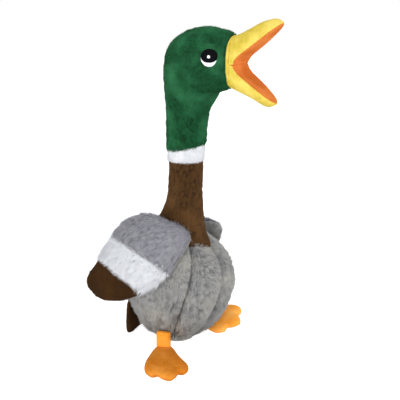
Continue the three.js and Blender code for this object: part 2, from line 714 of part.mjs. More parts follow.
// The space in front of the tail's middle layer, or behind it, curved as the tail is
function tailSide(side) {
  const slices = 4;
  const width = TAIL_WIDTH * 0.6;
  const face = new THREE.Shape();
  const near = (SEAM_GAP / 2) * side;
  for (let slice = 0; slice <= slices; slice += 1) {
    const y = width * ((slice / slices) * 2 - 1);
    const x = y ** 2 / (2 * BODY_RADIUS) + near;
    if (slice === 0) face.moveTo(x, y);
    else face.lineTo(x, y);
  }
  face.lineTo(REACH * side, width);
  face.lineTo(REACH * side, -width);
  face.closePath();
  const options = { depth: REACH * 2, bevelEnabled: false };
  return toSolid(new THREE.ExtrudeGeometry(face, options).translate(0, 0, -REACH));
}

// Legs: flat orange straps, each round-ended at the body and at the ankle

function legPlace(turn) {
  const latitude = rad(LEG_LATITUDE);
  const [radius, height] = onEgg(latitude);
  const steep = Math.atan2(Math.sin(latitude) / BODY_MIDDLE, Math.cos(latitude) / BODY_RADIUS);
  const reach = radius + (LEG_THICKNESS / 2) * Math.cos(steep);
  return {
    x: reach * Math.cos(rad(turn)),
    y: reach * Math.sin(rad(turn)),
    hip: height + (LEG_THICKNESS / 2) * Math.sin(steep),
  };
}

function strapGeometry(drop) {
  const radius = LEG_THICKNESS / 2;
  const side = new THREE.Shape();
  side.absarc(0, 0, radius, 0, Math.PI, false);
  side.absarc(0, -drop, radius, Math.PI, 2 * Math.PI, false);
  side.closePath();
  const bevel = 1.5;
  const depth = LEG_WIDTH - 2 * bevel;
  const options = { depth, bevelSize: bevel, bevelThickness: bevel, bevelOffset: -bevel,
    bevelSegments: 1, curveSegments: 6 };
  const strap = new THREE.ExtrudeGeometry(side, options).translate(0, 0, -depth / 2);
  return strap.rotateX(Math.PI / 2);
}

// Feet: three round toes and the web between them, sewn from an upper and a sole

// How far the foot's edge lies from its middle, for a direction in degrees from the toes
function footReach(direction) {
  const side = SIDE_TOE_LENGTH - FOOT_MIDDLE;
  const rim = [[0, FOOT_LENGTH - FOOT_MIDDLE], [24, FOOT_WEB_DEPTH], [TOE_SPREAD, side],
    [78, FOOT_HALF_WIDTH], [130, FOOT_HALF_WIDTH], [160, HEEL_REACH], [180, HEEL_REACH]];
  const angle = Math.abs(direction);
  const next = rim.findIndex(([edge], index) => index > 0 && angle <= edge);
  const [from, start] = rim[next - 1];
  const [to, end] = rim[next];
  const share = THREE.MathUtils.smoothstep(angle, from, to);
  return start + (end - start) * share;
}

function footForm(inset) {
  const foot = new THREE.SphereGeometry(1, FOOT_SIDES, 6).rotateX(Math.PI / 2);
  const position = foot.attributes.position;
  const half = FOOT_THICKNESS / 2 - inset;
  for (let index = 0; index < position.count; index += 1) {
    const x = position.getX(index);
    const y = position.getY(index);
    const direction = THREE.MathUtils.radToDeg(Math.atan2(y, x));
    const reach = footReach(direction) - inset;
    position.setXYZ(index, FOOT_MIDDLE + x * reach, y * reach, position.getZ(index) * half);
  }
  return toSolid(foot);
}

function makeLeg(word, turn, ankleHeight, footTurn, footRoll) {
  const { x, y, hip } = legPlace(turn);
  const leg = new THREE.Group();
  leg.position.set(x, y, hip);
  leg.rotation.z = rad(turn);
  duck.add(leg);
  addPiece(`leg_strap_${word}`, strapGeometry(hip - ankleHeight), ORANGE, leg, 0.9);

  const foot = new THREE.Group();
  foot.position.set(x, y, ankleHeight);
  foot.rotation.set(rad(footRoll), 0, rad(footTurn), 'ZYX');
  duck.add(foot);
  const sunk = FOOT_THICKNESS / 2 + FOOT_LIFT - RIGHT_ANKLE_HEIGHT;
  const seam = sunk - FOOT_SEAM_DROP;
  const tread = sunk - FOOT_THICKNESS / 2 + FOOT_TREAD;
  const hole = Math.hypot(LEG_WIDTH, LEG_THICKNESS) / 2 + 2 * LAYER_GAP;
  const upright = new THREE.CylinderGeometry(hole, hole, REACH, 20).rotateX(Math.PI / 2);
  const ankle = ball(hole, 0, 0, 0).add(toSolid(upright.translate(0, 0, REACH / 2)));
  const behind = block([-REACH, -REACH, -REACH], [0.5, REACH, REACH]);
  const place = (solid) => solid.translate([0, 0, sunk]).subtract(ankle).subtract(behind);
  const shell = place(footForm(0).subtract(footForm(FOOT_COVER)));
  const upper = shell.intersect(slab(seam + SEAM_GAP / 2, REACH));
  const sole = shell.intersect(slab(tread, seam - SEAM_GAP / 2));
  addPiece(`foot_upper_${word}`, upper, ORANGE, foot, 0.9);
  addPiece(`foot_sole_${word}`, sole, ORANGE, foot, 0.9);
  addPiece(`foot_wadding_${word}`, place(footForm(FOOT_COVER + LAYER_GAP)), WADDING, foot);
}

makeBody();
makeSqueaker();
makeNeck();
makeHead();
makeEyes();
makeBeak();
makeWings();
makeTail();
makeLeg('right', RIGHT_LEG_TURN, RIGHT_ANKLE_HEIGHT, RIGHT_FOOT_TURN, 0);
makeLeg('left', LEFT_LEG_TURN, LEFT_ANKLE_HEIGHT, LEFT_FOOT_TURN, LEFT_FOOT_ROLL);

export default duck;
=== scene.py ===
# A long-necked plush duck for a dog, sitting upright with its beak wide open.
# Metres. +X is the duck's front, +Y its left, +Z up, and the floor is at 0.

import math

import bmesh
import bpy
from mathutils import Matrix, Vector, noise


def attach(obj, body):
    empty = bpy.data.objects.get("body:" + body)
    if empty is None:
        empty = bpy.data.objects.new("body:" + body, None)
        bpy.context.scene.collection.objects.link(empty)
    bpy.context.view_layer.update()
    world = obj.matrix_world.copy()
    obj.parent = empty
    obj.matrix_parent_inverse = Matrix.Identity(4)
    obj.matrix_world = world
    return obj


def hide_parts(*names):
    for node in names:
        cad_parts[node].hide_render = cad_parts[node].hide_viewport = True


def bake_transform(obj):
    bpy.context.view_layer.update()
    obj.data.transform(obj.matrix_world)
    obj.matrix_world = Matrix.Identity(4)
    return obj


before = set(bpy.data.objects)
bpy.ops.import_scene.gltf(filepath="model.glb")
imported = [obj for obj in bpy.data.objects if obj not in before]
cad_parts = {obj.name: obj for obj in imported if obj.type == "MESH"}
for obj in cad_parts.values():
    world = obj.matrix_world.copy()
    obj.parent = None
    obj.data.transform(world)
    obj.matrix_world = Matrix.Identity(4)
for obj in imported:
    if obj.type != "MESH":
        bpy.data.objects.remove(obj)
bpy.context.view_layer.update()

# Body: an egg of grey long-pile plush, sewn from six gores and stuffed firmly. Each gore is an
# orange-peel panel that bulges between its seams and stops at the brown bib above it.

MM = 0.001
CELL = 1.25 * MM
BODY_RADIUS = 67 * MM
BODY_MIDDLE = 87.5 * MM
BODY_DEPTH = 83 * MM
BODY_CROWN = 57 * MM
BASE_RADIUS = 20 * MM
BASE_RINGS = [(BASE_RADIUS, 0.3 * MM), (24.5 * MM, 6 * MM)]
LOWEST_LATITUDE = -60
FLARE_LATITUDE = 46
FLARE_HEIGHT = BODY_MIDDLE + BODY_CROWN * math.sin(math.radians(FLARE_LATITUDE))
FLARE_FADE = 45 * MM
FLARE_RINGS = [(36, 137.5), (30.2, 152.5), (25.5, 170), (22.2, 184), (20.5, 194), (19.8, 202),
               (19.8, 209)]
LEAN_START = 140 * MM
LEAN_END = 200 * MM
NECK_X = 9.5 * MM
BELLY_BACK = 3 * MM
BELLY_TOP = 60 * MM
GORE_SEAMS = [2, 45, 115, 180, 245, 318]
GORE_THICKNESS = 5 * MM
SEAM_DIP = 5.5 * MM
SEAM_WIDTH = 5 * MM
SEAM_SKEW = math.radians(16)
SEAM_LEVEL = 112 * MM
SEAM_RUN = 60 * MM
BIB_RADIUS = 31 * MM
BIB_SHIFT = 4 * MM
BIB_POINT = 8.5 * MM
BIB_POINT_ANGLE = 40


def between(before, start, end, after, t):
    """A point on the smooth curve from start to end, which comes from before and goes on to after."""
    return 0.5 * (
        2 * start
        + (end - before) * t
        + (2 * before - 5 * start + 4 * end - after) * t**2
        + (3 * start - before - 3 * end + after) * t**3
    )


def curve_point(points, share):
    """A point on the smooth curve through the points, at a share of their number."""
    place = min(max(share, 0.0), 1.0) * (len(points) - 1)
    index = min(int(place), len(points) - 2)
    t = place - index
    before = Vector(points[max(index - 1, 0)])
    start = Vector(points[index])
    end = Vector(points[index + 1])
    after = Vector(points[min(index + 2, len(points) - 1)])
    return between(before, start, end, after, t)


def body_outline():
    """Radius and height from the base seam, round the egg and up the flare to the neck."""
    points = list(BASE_RINGS)
    arcs = 9
    for step in range(arcs + 1):
        degrees = LOWEST_LATITUDE + (FLARE_LATITUDE - LOWEST_LATITUDE) * step / arcs
        latitude = math.radians(degrees)
        reach = BODY_CROWN if latitude > 0 else BODY_DEPTH
        height = BODY_MIDDLE + reach * math.sin(latitude)
        points.append((BODY_RADIUS * math.cos(latitude), height))
    for radius, height in FLARE_RINGS:
        points.append((radius * MM, height * MM))
    return points


OUTLINE = body_outline()


def ease(share):
    """Goes from 0 to 1 slowly at both ends."""
    share = min(max(share, 0), 1)
    return share * share * (3 - 2 * share)


def neck_shift(height):
    """How far forward the middle stands at a height: the neck leans and the belly sags back."""
    sag = BELLY_BACK * ease((BELLY_TOP - height) / BELLY_TOP)
    return NECK_X * ease((height - LEAN_START) / (LEAN_END - LEAN_START)) - sag


def seam_turn(height):
    """How far round a seam has wandered at a height."""
    return SEAM_SKEW * (SEAM_LEVEL - height) / SEAM_RUN


def on_body(angle, share, proud=0.0):
    """A point of the body's surface: the way round it, and the share of its outline from below."""
    radius, height = curve_point(OUTLINE, share)
    radius += proud
    x = radius * math.cos(angle) + neck_shift(height)
    return Vector((x, radius * math.sin(angle), height))


def body_out(place):
    """The way straight out from the body's surface."""
    reach = BODY_CROWN if place.z > BODY_MIDDLE else BODY_DEPTH
    out = Vector((place.x, place.y, (place.z - BODY_MIDDLE) * (BODY_RADIUS / reach) ** 2))
    if place.z > FLARE_HEIGHT:
        out.z *= max(0.0, 1 - (place.z - FLARE_HEIGHT) / FLARE_FADE)
    return out.normalized()


def bib_share(angle):
    """Where the bib's edge crosses the outline, for a direction round the body."""
    turned = math.degrees(math.atan2(math.sin(angle), math.cos(angle)))
    point = BIB_POINT * max(0.0, 1 - abs(turned) / BIB_POINT_ANGLE)
    edge = BIB_RADIUS + BIB_SHIFT * math.cos(angle) + point
    steps = 400
    for step in range(steps // 2, steps):
        radius, height = curve_point(OUTLINE, step / steps)
        if height > BODY_MIDDLE and radius < edge:
            return step / steps
    return 1.0


def new_piece(bm, name):
    """Makes the worked shape an object of its own."""
    mesh = bpy.data.meshes.new(name)
    bm.to_mesh(mesh)
    bm.free()
    piece = bpy.data.objects.new(name, mesh)
    bpy.context.scene.collection.objects.link(piece)
    return piece


def settle(piece):
    """Makes what the piece's modifiers give its own mesh."""
    graph = bpy.context.evaluated_depsgraph_get()
    mesh = bpy.data.meshes.new_from_object(piece.evaluated_get(graph))
    piece.modifiers.clear()
    piece.data = mesh


def even_out(piece, cell, rounds):
    """Even small squares all over a closed form, with its corners rounded off."""
    remesh = piece.modifiers.new("even", "REMESH")
    remesh.mode = "VOXEL"
    remesh.voxel_size = cell
    relax = piece.modifiers.new("relax", "SMOOTH")
    relax.factor = 0.5
    relax.iterations = rounds
    settle(piece)


def lay_flat(piece):
    """The piece's own map, laid out before its pile is grown."""
    bpy.ops.object.select_all(action="DESELECT")
    piece.select_set(True)
    bpy.context.view_layer.objects.active = piece
    piece.data.uv_layers.new(name="OFBake")
    bpy.ops.object.mode_set(mode="EDIT")
    bpy.ops.mesh.select_all(action="SELECT")
    bpy.ops.uv.smart_project(angle_limit=1.15, island_margin=0.004, scale_to_bounds=True)
    bpy.ops.object.mode_set(mode="OBJECT")


# One fixed seed, so that the tufts lie the same way each time.
noise.seed_set(7)
HAIR_SPREAD = 1.1 * MM
HAIR_STRAY = 0.2
SWELL_SPREAD = 9 * MM
UNEVEN = 0.25
DRAWN_OUT = 0.7
PARTING_SPREAD = 1.4
PARTING_WIDTH = 0.16
PARTING_DEPTH = 0.6
SHORTEST = 0.2


def grow_pile(piece, length, lay, lean=0.55, clump=6 * MM, stray=0.4, parting=0.4, outside=None,
              trim=None):
    """Raises a soft spike of pile from each square, in leaning clumps with partings between.

    Where trim(place) is under 1, the pile is that much shorter, and its colour goes that much towards
    the dark root colour, which is painted shade.
    """
    bm = bmesh.new()
    bm.from_mesh(piece.data)
    tip = bm.verts.layers.float.new("tip")
    bm.normal_update()
    faces = [f for f in bm.faces if outside is None or outside(f.calc_center_median(), f.normal)]
    tops = bmesh.ops.poke(bm, faces=faces, center_mode="MEAN")["verts"]
    bm.normal_update()
    for top in tops:
        root = top.co.copy()
        normal = top.normal.copy()
        flow = lay(root) if callable(lay) else Vector(lay)
        flow = flow - normal * flow.dot(normal)
        if flow.length > 1e-6:
            flow.normalize()
        drawn_out = root - flow * root.dot(flow) * DRAWN_OUT
        tuft = noise.noise_vector(drawn_out / clump)
        hair = noise.noise_vector(root / HAIR_SPREAD)
        open_line = abs(noise.noise(drawn_out / (PARTING_SPREAD * clump)))
        parted = parting * max(0.0, 1 - open_line / PARTING_WIDTH)
        swell = noise.noise(root / SWELL_SPREAD)
        height = 1 + UNEVEN * swell + UNEVEN * hair.x - PARTING_DEPTH * parted
        heading = normal * (1 - 0.5 * lean) + flow * lean + tuft * stray + hair * HAIR_STRAY
        heading.normalize()
        kept = trim(root) if trim else 1
        top.co = root + heading * length * kept * max(height, SHORTEST)
        # The tip share picks the colour. It is low in the partings and where the pile is trimmed, so
        # the dark root colour paints shade there.
        top[tip] = (1 - parted) * min(1, kept)
    bm.to_mesh(piece.data)
    bm.free()
    piece.data.shade_smooth()


def linear(code):
    """A colour written as a six-digit code, as amounts of red, green and blue light."""
    values = [int(code[place : place + 2], 16) / 255 for place in (1, 3, 5)]
    found = [v / 12.92 if v <= 0.04045 else ((v + 0.055) / 1.055) ** 2.4 for v in values]
    return (*found, 1.0)


def fill(made, values):
    """Sets a node's inputs."""
    for name, value in values.items():
        made.inputs[name].default_value = value


def node(tree, kind, place, values=None, **settings):
    """Adds a node at a place on the sheet, with its settings and the values of its inputs."""
    made = tree.nodes.new(kind)
    made.location = place
    for name, value in settings.items():
        setattr(made, name, value)
    fill(made, values or {})
    return made


def join(tree, *wires):
    """Wires nodes up: from a node's output to another node's input."""
    for source, output, target, entry in wires:
        tree.links.new(source.outputs[output], target.inputs[entry])


def new_material(name):
    """A new material, with its sheet of nodes and the shader on it."""
    material = bpy.data.materials.new(name)
    material.use_nodes = True
    tree = material.node_tree
    return material, tree, tree.nodes["Principled BSDF"]


def make_pile_shade():
    """Pile: dark down at the cloth and in the partings, which is painted shade, lighter at the tips,
    in soft patches.
    """
    tree = bpy.data.node_groups.new("pile shade", "ShaderNodeTree")
    sockets = (("INPUT", "Color", ("Root", "Tip", "Patch")),
               ("INPUT", "Float", ("Clump Scale", "Patch Scale", "Patch Amount")),
               ("OUTPUT", "Color", ("Color",)),
               ("OUTPUT", "Float", ("Roughness", "Height")))
    for way, kind, names in sockets:
        for name in names:
            tree.interface.new_socket(name, in_out=way, socket_type=f"NodeSocket{kind}")
    given = node(tree, "NodeGroupInput", (-1200, 0))
    result = node(tree, "NodeGroupOutput", (700, 0))
    place = node(tree, "ShaderNodeTexCoord", (-1200, -400))
    # The tip share mixes in the dark root colour, painted shade down among the tufts.
    height = node(tree, "ShaderNodeAttribute", (-1200, 300), attribute_name="tip")
    clumps = node(tree, "ShaderNodeTexNoise", (-900, -200), {"Detail": 3})
    patches = node(tree, "ShaderNodeTexNoise", (-900, -500), {"Detail": 2})
    hairs = node(tree, "ShaderNodeTexNoise", (-900, -800), {"Scale": 900})
    depth = node(tree, "ShaderNodeMath", (-600, 200), {1: 0.9}, operation="MULTIPLY_ADD")
    tufts = node(tree, "ShaderNodeMapRange", (-600, -200),
                 {"From Min": 0.35, "From Max": 0.65, "To Max": 0.3})
    pile = node(tree, "ShaderNodeMix", (-250, 100), data_type="RGBA")
    spread = node(tree, "ShaderNodeMapRange", (-600, -500), {"From Min": 0.42, "From Max": 0.66})
    amount = node(tree, "ShaderNodeMath", (-250, -400), operation="MULTIPLY")
    patched = node(tree, "ShaderNodeMix", (50, 0), data_type="RGBA")
    rough = node(tree, "ShaderNodeMapRange", (50, -300), {"To Min": 0.8, "To Max": 1.0})
    join(tree,
         (place, "Object", clumps, "Vector"), (place, "Object", patches, "Vector"),
         (place, "Object", hairs, "Vector"), (given, "Clump Scale", clumps, "Scale"),
         (given, "Patch Scale", patches, "Scale"), (height, "Fac", depth, 0),
         (clumps, "Fac", tufts, "Value"), (tufts, "Result", depth, 2),
         (depth, 0, pile, "Factor"), (given, "Root", pile, 6), (given, "Tip", pile, 7),
         (patches, "Fac", spread, "Value"), (spread, "Result", amount, 0),
         (given, "Patch Amount", amount, 1), (amount, 0, patched, "Factor"),
         (pile, 2, patched, 6), (given, "Patch", patched, 7), (clumps, "Fac", rough, "Value"),
         (patched, 2, result, "Color"), (rough, "Result", result, "Roughness"),
         (hairs, "Fac", result, "Height"))
    return tree


PILE_SHADE = make_pile_shade()


def plush(name, root, tip, patch, patch_amount=0.5, patch_scale=28, clump_scale=170, sheen=0.25):
    """Plush of one colour: dark at the root, where the root colour is painted shade, lighter at the
    tip, and in patches where it turns.
    """
    material, tree, shader = new_material(name)
    fill(shader, {"Specular IOR Level": 0.15, "Sheen Weight": sheen, "Sheen Roughness": 0.5,
                  "Sheen Tint": linear(tip)})
    # The root colour is painted shade, down among the tufts and in their partings.
    colours = {"Root": linear(root), "Tip": linear(tip), "Patch": linear(patch),
               "Patch Amount": patch_amount, "Patch Scale": patch_scale,
               "Clump Scale": clump_scale}
    shade = node(tree, "ShaderNodeGroup", (-400, 200), colours, node_tree=PILE_SHADE)
    bump = node(tree, "ShaderNodeBump", (-200, -200), {"Strength": 0.25, "Distance": 0.4 * MM})
    join(tree,
         (shade, "Color", shader, "Base Color"), (shade, "Roughness", shader, "Roughness"),
         (shade, "Height", bump, "Height"), (bump, "Normal", shader, "Normal"))
    return material


GREY_PLUSH = plush("grey plush", "#4c4e51", "#bab9b7", "#c4c1b6")
GREY_PILE = 6.5 * MM
GREY_CLUMP = 5 * MM
GREY_LAY = (0.1, 0, -1)
GORE_SWELL = 1.2 * MM
GORE_SWELL_SPREAD = 32 * MM
GORE_END = 0.1
SEAM_CLEAR = 6 * MM
FRONT_SEAM_CLEAR = 11 * MM
# Where the pile is trimmed short, at the seams, near the floor and low behind the far foot, its
# colour goes darker towards the root: painted shade.
SEAM_PILE = 0.12
FLOOR_FADE = 18 * MM
FLOOR_PILE = 0.15
SHORT_DARK_GORE = 2
SHORT_DARK_HEIGHT = 45 * MM
SHORT_DARK_PILE = 0.3


def thicken(piece, thickness):
    """Gives an open sheet its thickness, inwards."""
    wall = piece.modifiers.new("wall", "SOLIDIFY")
    wall.thickness = thickness
    wall.offset = -1


def face_out(bm, middle):
    """Turns the faces of an open sheet away from a middle line."""
    bm.faces.ensure_lookup_table()
    face = bm.faces[len(bm.faces) // 2]
    away = face.calc_center_median() - middle
    face.normal_update()
    if face.normal.dot(away) < 0:
        bmesh.ops.reverse_faces(bm, faces=bm.faces)


def make_gore(index, start, end):
    """One gore, from the seam at the angle start to the seam at the angle end."""
    bm = bmesh.new()
    bmesh.ops.create_grid(bm, x_segments=18, y_segments=40, size=0.5)
    for vert in bm.verts:
        across = vert.co.x + 0.5
        up = vert.co.y + 0.5
        angle = start + (end - start) * across
        share = bib_share(angle) * up
        angle -= seam_turn(on_body(angle, share).z)
        flat = on_body(angle, share)
        from_seam = min(across, 1 - across) * (end - start) * math.hypot(flat.x, flat.y)
        dip = SEAM_DIP * math.exp(-((from_seam / SEAM_WIDTH) ** 2))
        edge = min(1.0, up / GORE_END)
        soft = GORE_SWELL * noise.noise(flat / GORE_SWELL_SPREAD)
        vert.co = on_body(angle, share, (soft - dip) * edge)
    face_out(bm, Vector((0, 0, BODY_MIDDLE)))
    piece = new_piece(bm, f"body_gore_{index}_plush")
    thicken(piece, GORE_THICKNESS)
    even_out(piece, CELL, 4)
    lay_flat(piece)
    first_clear = FRONT_SEAM_CLEAR if index == 1 else SEAM_CLEAR
    last_clear = FRONT_SEAM_CLEAR if index == len(GORE_SEAMS) else SEAM_CLEAR
    short_dark_height = SHORT_DARK_HEIGHT if index == SHORT_DARK_GORE else 0

    def on_show(place, normal):
        """Only the outer face has pile, and under the bib only what faces straight out."""
        facing = 0.75 if place.z > FLARE_HEIGHT - 4 * MM else 0.2
        return normal.dot(body_out(place)) > facing and place.z > 1.5 * MM

    def trim(place):
        """The pile is short at the seams, near the floor and low down behind the far foot, and its
        colour there goes towards the dark root colour, painted shade.
        """
        low = min(1.0, max(FLOOR_PILE, (place.z - 2 * MM) / FLOOR_FADE))
        if place.z < short_dark_height:
            low *= SHORT_DARK_PILE
        angle = math.atan2(place.y, place.x - neck_shift(place.z)) + seam_turn(place.z)
        turned = (angle - start) % math.tau
        round_body = math.hypot(place.x, place.y)
        from_start = turned * round_body / first_clear
        from_end = abs(end - start - turned) * round_body / last_clear
        return low * (SEAM_PILE + (1 - SEAM_PILE) * ease(min(from_start, from_end)))

    grow_pile(piece, GREY_PILE, GREY_LAY, clump=GREY_CLUMP, stray=0.7, parting=1.0,
              outside=on_show, trim=trim)
    piece.data.materials.append(GREY_PLUSH)
    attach(piece, "torso")
    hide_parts(f"body_gore_{index}")
    return piece


for number, seam in enumerate(GORE_SEAMS):
    following = GORE_SEAMS[(number + 1) % len(GORE_SEAMS)]
    if following <= seam:
        following += 360
    make_gore(number + 1, math.radians(seam), math.radians(following))
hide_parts("body_wadding")

# Base panel: the flat round of the same grey plush underneath, its pile pressed down by the
# duck's weight, that closes the bottom of the six gores.

BASE_THICKNESS = 2.4 * MM
BASE_PILE = 0.5 * MM

bm = bmesh.new()
bmesh.ops.create_circle(bm, segments=48, radius=BASE_RADIUS - 0.5 * MM, cap_ends=True)
bmesh.ops.translate(bm, verts=bm.verts, vec=(neck_shift(0), 0, 0.4 * MM))
extruded = bmesh.ops.extrude_face_region(bm, geom=bm.faces[:])["geom"]
raised = [item for item in extruded if isinstance(item, bmesh.types.BMVert)]
bmesh.ops.translate(bm, verts=raised, vec=(0, 0, BASE_THICKNESS))
bmesh.ops.recalc_face_normals(bm, faces=bm.faces)
base = new_piece(bm, "base_panel_plush")
even_out(base, CELL, 2)
lay_flat(base)
grow_pile(base, BASE_PILE, (1, 0, 0), outside=lambda place, normal: normal.z < -0.5)
base.data.materials.append(GREY_PLUSH)
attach(base, "torso")
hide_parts("base_panel")

# Bib and neck: short brown plush. The bib runs down to a point on the chest and up into the
# neck, which is a stuffed tube that bends at the shoulders and again below the collar.

BROWN_PILE = 2.6 * MM
BROWN_CLUMP = 4 * MM
BROWN_PLUSH = plush("brown plush", "#150b03", "#624324", "#6d4d2a", patch_scale=34,
                    clump_scale=210, sheen=0.2)
BIB_TUCK = 0.004
BIB_PROUD = 0.4 * MM
BIB_MIDDLE = 150 * MM
NECK_RADIUS = 19.8 * MM
NECK_CLOTH = 4 * MM
NECK_TUCK = 4 * MM
NECK_SPLIT = 207 * MM
NECK_LEAN_START = 176 * MM
NECK_LEAN_LENGTH = 130 * MM
NECK_LEAN = 3 * MM
COLLAR_BOTTOM = 240.2 * MM
COLLAR_TOP = 262 * MM
COLLAR_TILT = 4.8 * MM
COLLAR_TILT_ANGLE = math.radians(31)


def neck_middle(height):
    """The neck's middle line, which leans a little further forward as it rises."""
    rise = max(height - NECK_LEAN_START, 0) / NECK_LEAN_LENGTH
    return Vector((NECK_X + NECK_LEAN * rise, 0, height))


bm = bmesh.new()
bmesh.ops.create_grid(bm, x_segments=96, y_segments=44, size=0.5)
for vert in bm.verts:
    angle = 2 * math.pi * (vert.co.x + 0.5)
    up = vert.co.y + 0.5
    low = bib_share(angle) - BIB_TUCK
    share = low + (1 - low) * up
    vert.co = on_body(angle, share, BIB_PROUD)
bmesh.ops.remove_doubles(bm, verts=bm.verts, dist=0.01 * MM)
face_out(bm, Vector((0, 0, BIB_MIDDLE)))
bib = new_piece(bm, "bib_and_neck_plush")
thicken(bib, NECK_CLOTH)
even_out(bib, CELL, 3)
lay_flat(bib)


def bib_outside(place, normal):
    """The bib's outer face, on the shoulders and round the neck."""
    out = place - neck_middle(place.z)
    out.z = 0.6 * out.length if place.z < BIB_MIDDLE else 0
    return normal.dot(out) > -0.3 * out.length


grow_pile(bib, BROWN_PILE, (0, 0, -1), clump=BROWN_CLUMP, stray=0.6, parting=0.9,
          outside=bib_outside)
bib.data.materials.append(BROWN_PLUSH)
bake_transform(bib)
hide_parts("bib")


def neck_tube(name, bottom, top, radius, tilt=0.0):
    """A stuffed length of neck: radius(height) gives its girth, tilt how its top slopes."""
    bm = bmesh.new()
    bmesh.ops.create_grid(bm, x_segments=72, y_segments=24, size=0.5)
    for vert in bm.verts:
        angle = 2 * math.pi * (vert.co.x + 0.5)
        height = bottom + (top - bottom) * (vert.co.y + 0.5)
        girth = radius(height)
        height += tilt * math.cos(angle - COLLAR_TILT_ANGLE) * (vert.co.y + 0.5)
        out = Vector((girth * math.cos(angle), girth * math.sin(angle), 0))
        vert.co = neck_middle(height) + out
    bmesh.ops.remove_doubles(bm, verts=bm.verts, dist=0.01 * MM)
    face_out(bm, neck_middle((bottom + top) / 2))
    piece = new_piece(bm, name)
    thicken(piece, NECK_CLOTH)
    even_out(piece, CELL, 3)
    lay_flat(piece)
    return piece


def tube_outside(place, normal):
    """The outer face of a length of neck."""
    out = place - neck_middle(place.z)
    return normal.dot(out) > -0.2 * out.length


neck = neck_tube("neck_plush", NECK_SPLIT, COLLAR_BOTTOM + NECK_TUCK, lambda height: NECK_RADIUS)
grow_pile(neck, BROWN_PILE, (0, 0, -1), clump=BROWN_CLUMP, stray=0.6, parting=0.9,
          outside=tube_outside)
neck.data.materials.append(BROWN_PLUSH)
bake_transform(neck)
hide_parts("neck_cover_left", "neck_cover_right", "neck_wadding")

# Collar: a band of white plush sewn between the brown neck and the green throat. Its longer
# pile stands out over both seams in a ragged edge.

WHITE_PLUSH = plush("white plush", "#c9ccd2", "#f4f5f8", "#dfe3e8", patch_amount=0.4,
                    patch_scale=60, sheen=0.15)
COLLAR_RADIUS = 20.6
COLLAR_BULGE = 0.9
COLLAR_PILE = 3 * MM


def collar_girth(height):
    """The collar's radius, which is a little fuller half-way up."""
    share = (height - COLLAR_BOTTOM) / (COLLAR_TOP - COLLAR_BOTTOM)
    return (COLLAR_RADIUS + COLLAR_BULGE * math.sin(math.pi * share)) * MM


collar = neck_tube("collar_plush", COLLAR_BOTTOM, COLLAR_TOP, collar_girth, COLLAR_TILT)
grow_pile(collar, COLLAR_PILE, (0, 0, -1), lean=0.5, parting=0.1, outside=tube_outside)
collar.data.materials.append(WHITE_PLUSH)
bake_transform(collar)
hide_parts("white_collar")

# Head and throat: green plush, sewn from two halves with the seam along the top and the
# throat, and stuffed hard. The head is an egg that lies along the duck's length.

GREEN_PILE = 3.2 * MM
GREEN_CLUMP = 3 * MM
GREEN_PLUSH = plush("green plush", "#031a0a", "#1f6339", "#3e8b5d", patch_scale=36,
                    clump_scale=200, sheen=0.15)
HEAD_HEIGHT = 361 * MM
HEAD_FRONT = 75 * MM
HEAD_WIDTH_SHARE = 0.81
HEAD_OUTLINE = [(-15, 0), (-13, 9), (-7, 19), (3, 28.2), (16, 34.8), (29, 37.4), (43, 38),
                (58, 35), (68, 32.5), (74.5, 30), (76, 0)]
HEAD_RISE = 3 * MM
EYE_PLACE = Vector((60.5, 28.2, 368)) * MM
CHIN = 12.5 * MM
CHIN_HEIGHT = 325 * MM
CHIN_DEPTH = 19 * MM
NAPE = 2 * MM
THROAT_FOOT = 256 * MM
THROAT_TILT_END = 30 * MM
THROAT_RADIUS = 25 * MM
EYE_SHAVED = 9.5 * MM
EYE_SHAVED_FADE = 5 * MM
EYE_SHAVED_PILE = 0.1
LAY_TURN = 350 * MM
LAY_TURN_RUN = 30 * MM
THROAT_OUTLINE = [(256, 0), (256, 23.2), (280, 23.4), (305, 24.2), (325, 27), (345, 28),
                  (357, 27), (366, 20), (368, 0)]

bm = bmesh.new()
ring = [bm.verts.new((x * MM, 0, z * MM)) for x, z in HEAD_OUTLINE]
for first, second in zip(ring, ring[1:]):
    bm.edges.new((first, second))
bmesh.ops.spin(bm, geom=bm.verts[:] + bm.edges[:], cent=(0, 0, 0), axis=(1, 0, 0),
               angle=math.tau, steps=48, use_merge=True)
bmesh.ops.remove_doubles(bm, verts=bm.verts, dist=0.01 * MM)
bmesh.ops.scale(bm, vec=(1, HEAD_WIDTH_SHARE, 1), verts=bm.verts)
bmesh.ops.translate(bm, vec=(0, 0, HEAD_HEIGHT), verts=bm.verts)
for vert in bm.verts:
    vert.co.z += HEAD_RISE * ease(vert.co.x / HEAD_FRONT)
known = set(bm.verts)
ring = [bm.verts.new((radius * MM, 0, height * MM)) for height, radius in THROAT_OUTLINE]
edges = [bm.edges.new((first, second)) for first, second in zip(ring, ring[1:])]
bmesh.ops.spin(bm, geom=ring + edges, cent=(0, 0, 0), axis=(0, 0, 1),
               angle=math.tau, steps=48, use_merge=True)
throat = [vert for vert in bm.verts if vert not in known]
for vert in throat:
    angle = math.atan2(vert.co.y, vert.co.x)
    slope = max(0, 1 - (vert.co.z - THROAT_FOOT) / THROAT_TILT_END)
    vert.co.z += slope * COLLAR_TILT * math.cos(angle - COLLAR_TILT_ANGLE)
    near_chin = math.exp(-(((vert.co.z - CHIN_HEIGHT) / CHIN_DEPTH) ** 2))
    forward = vert.co.x / THROAT_RADIUS
    vert.co.x += near_chin * (CHIN * max(forward, 0) ** 2 + NAPE * max(-forward, 0))
    vert.co.x += neck_middle(vert.co.z).x
bmesh.ops.remove_doubles(bm, verts=throat, dist=0.01 * MM)
bmesh.ops.recalc_face_normals(bm, faces=bm.faces)
head = new_piece(bm, "head_plush")
even_out(head, 2.4 * MM, 10)
even_out(head, CELL * 0.85, 4)
lay_flat(head)


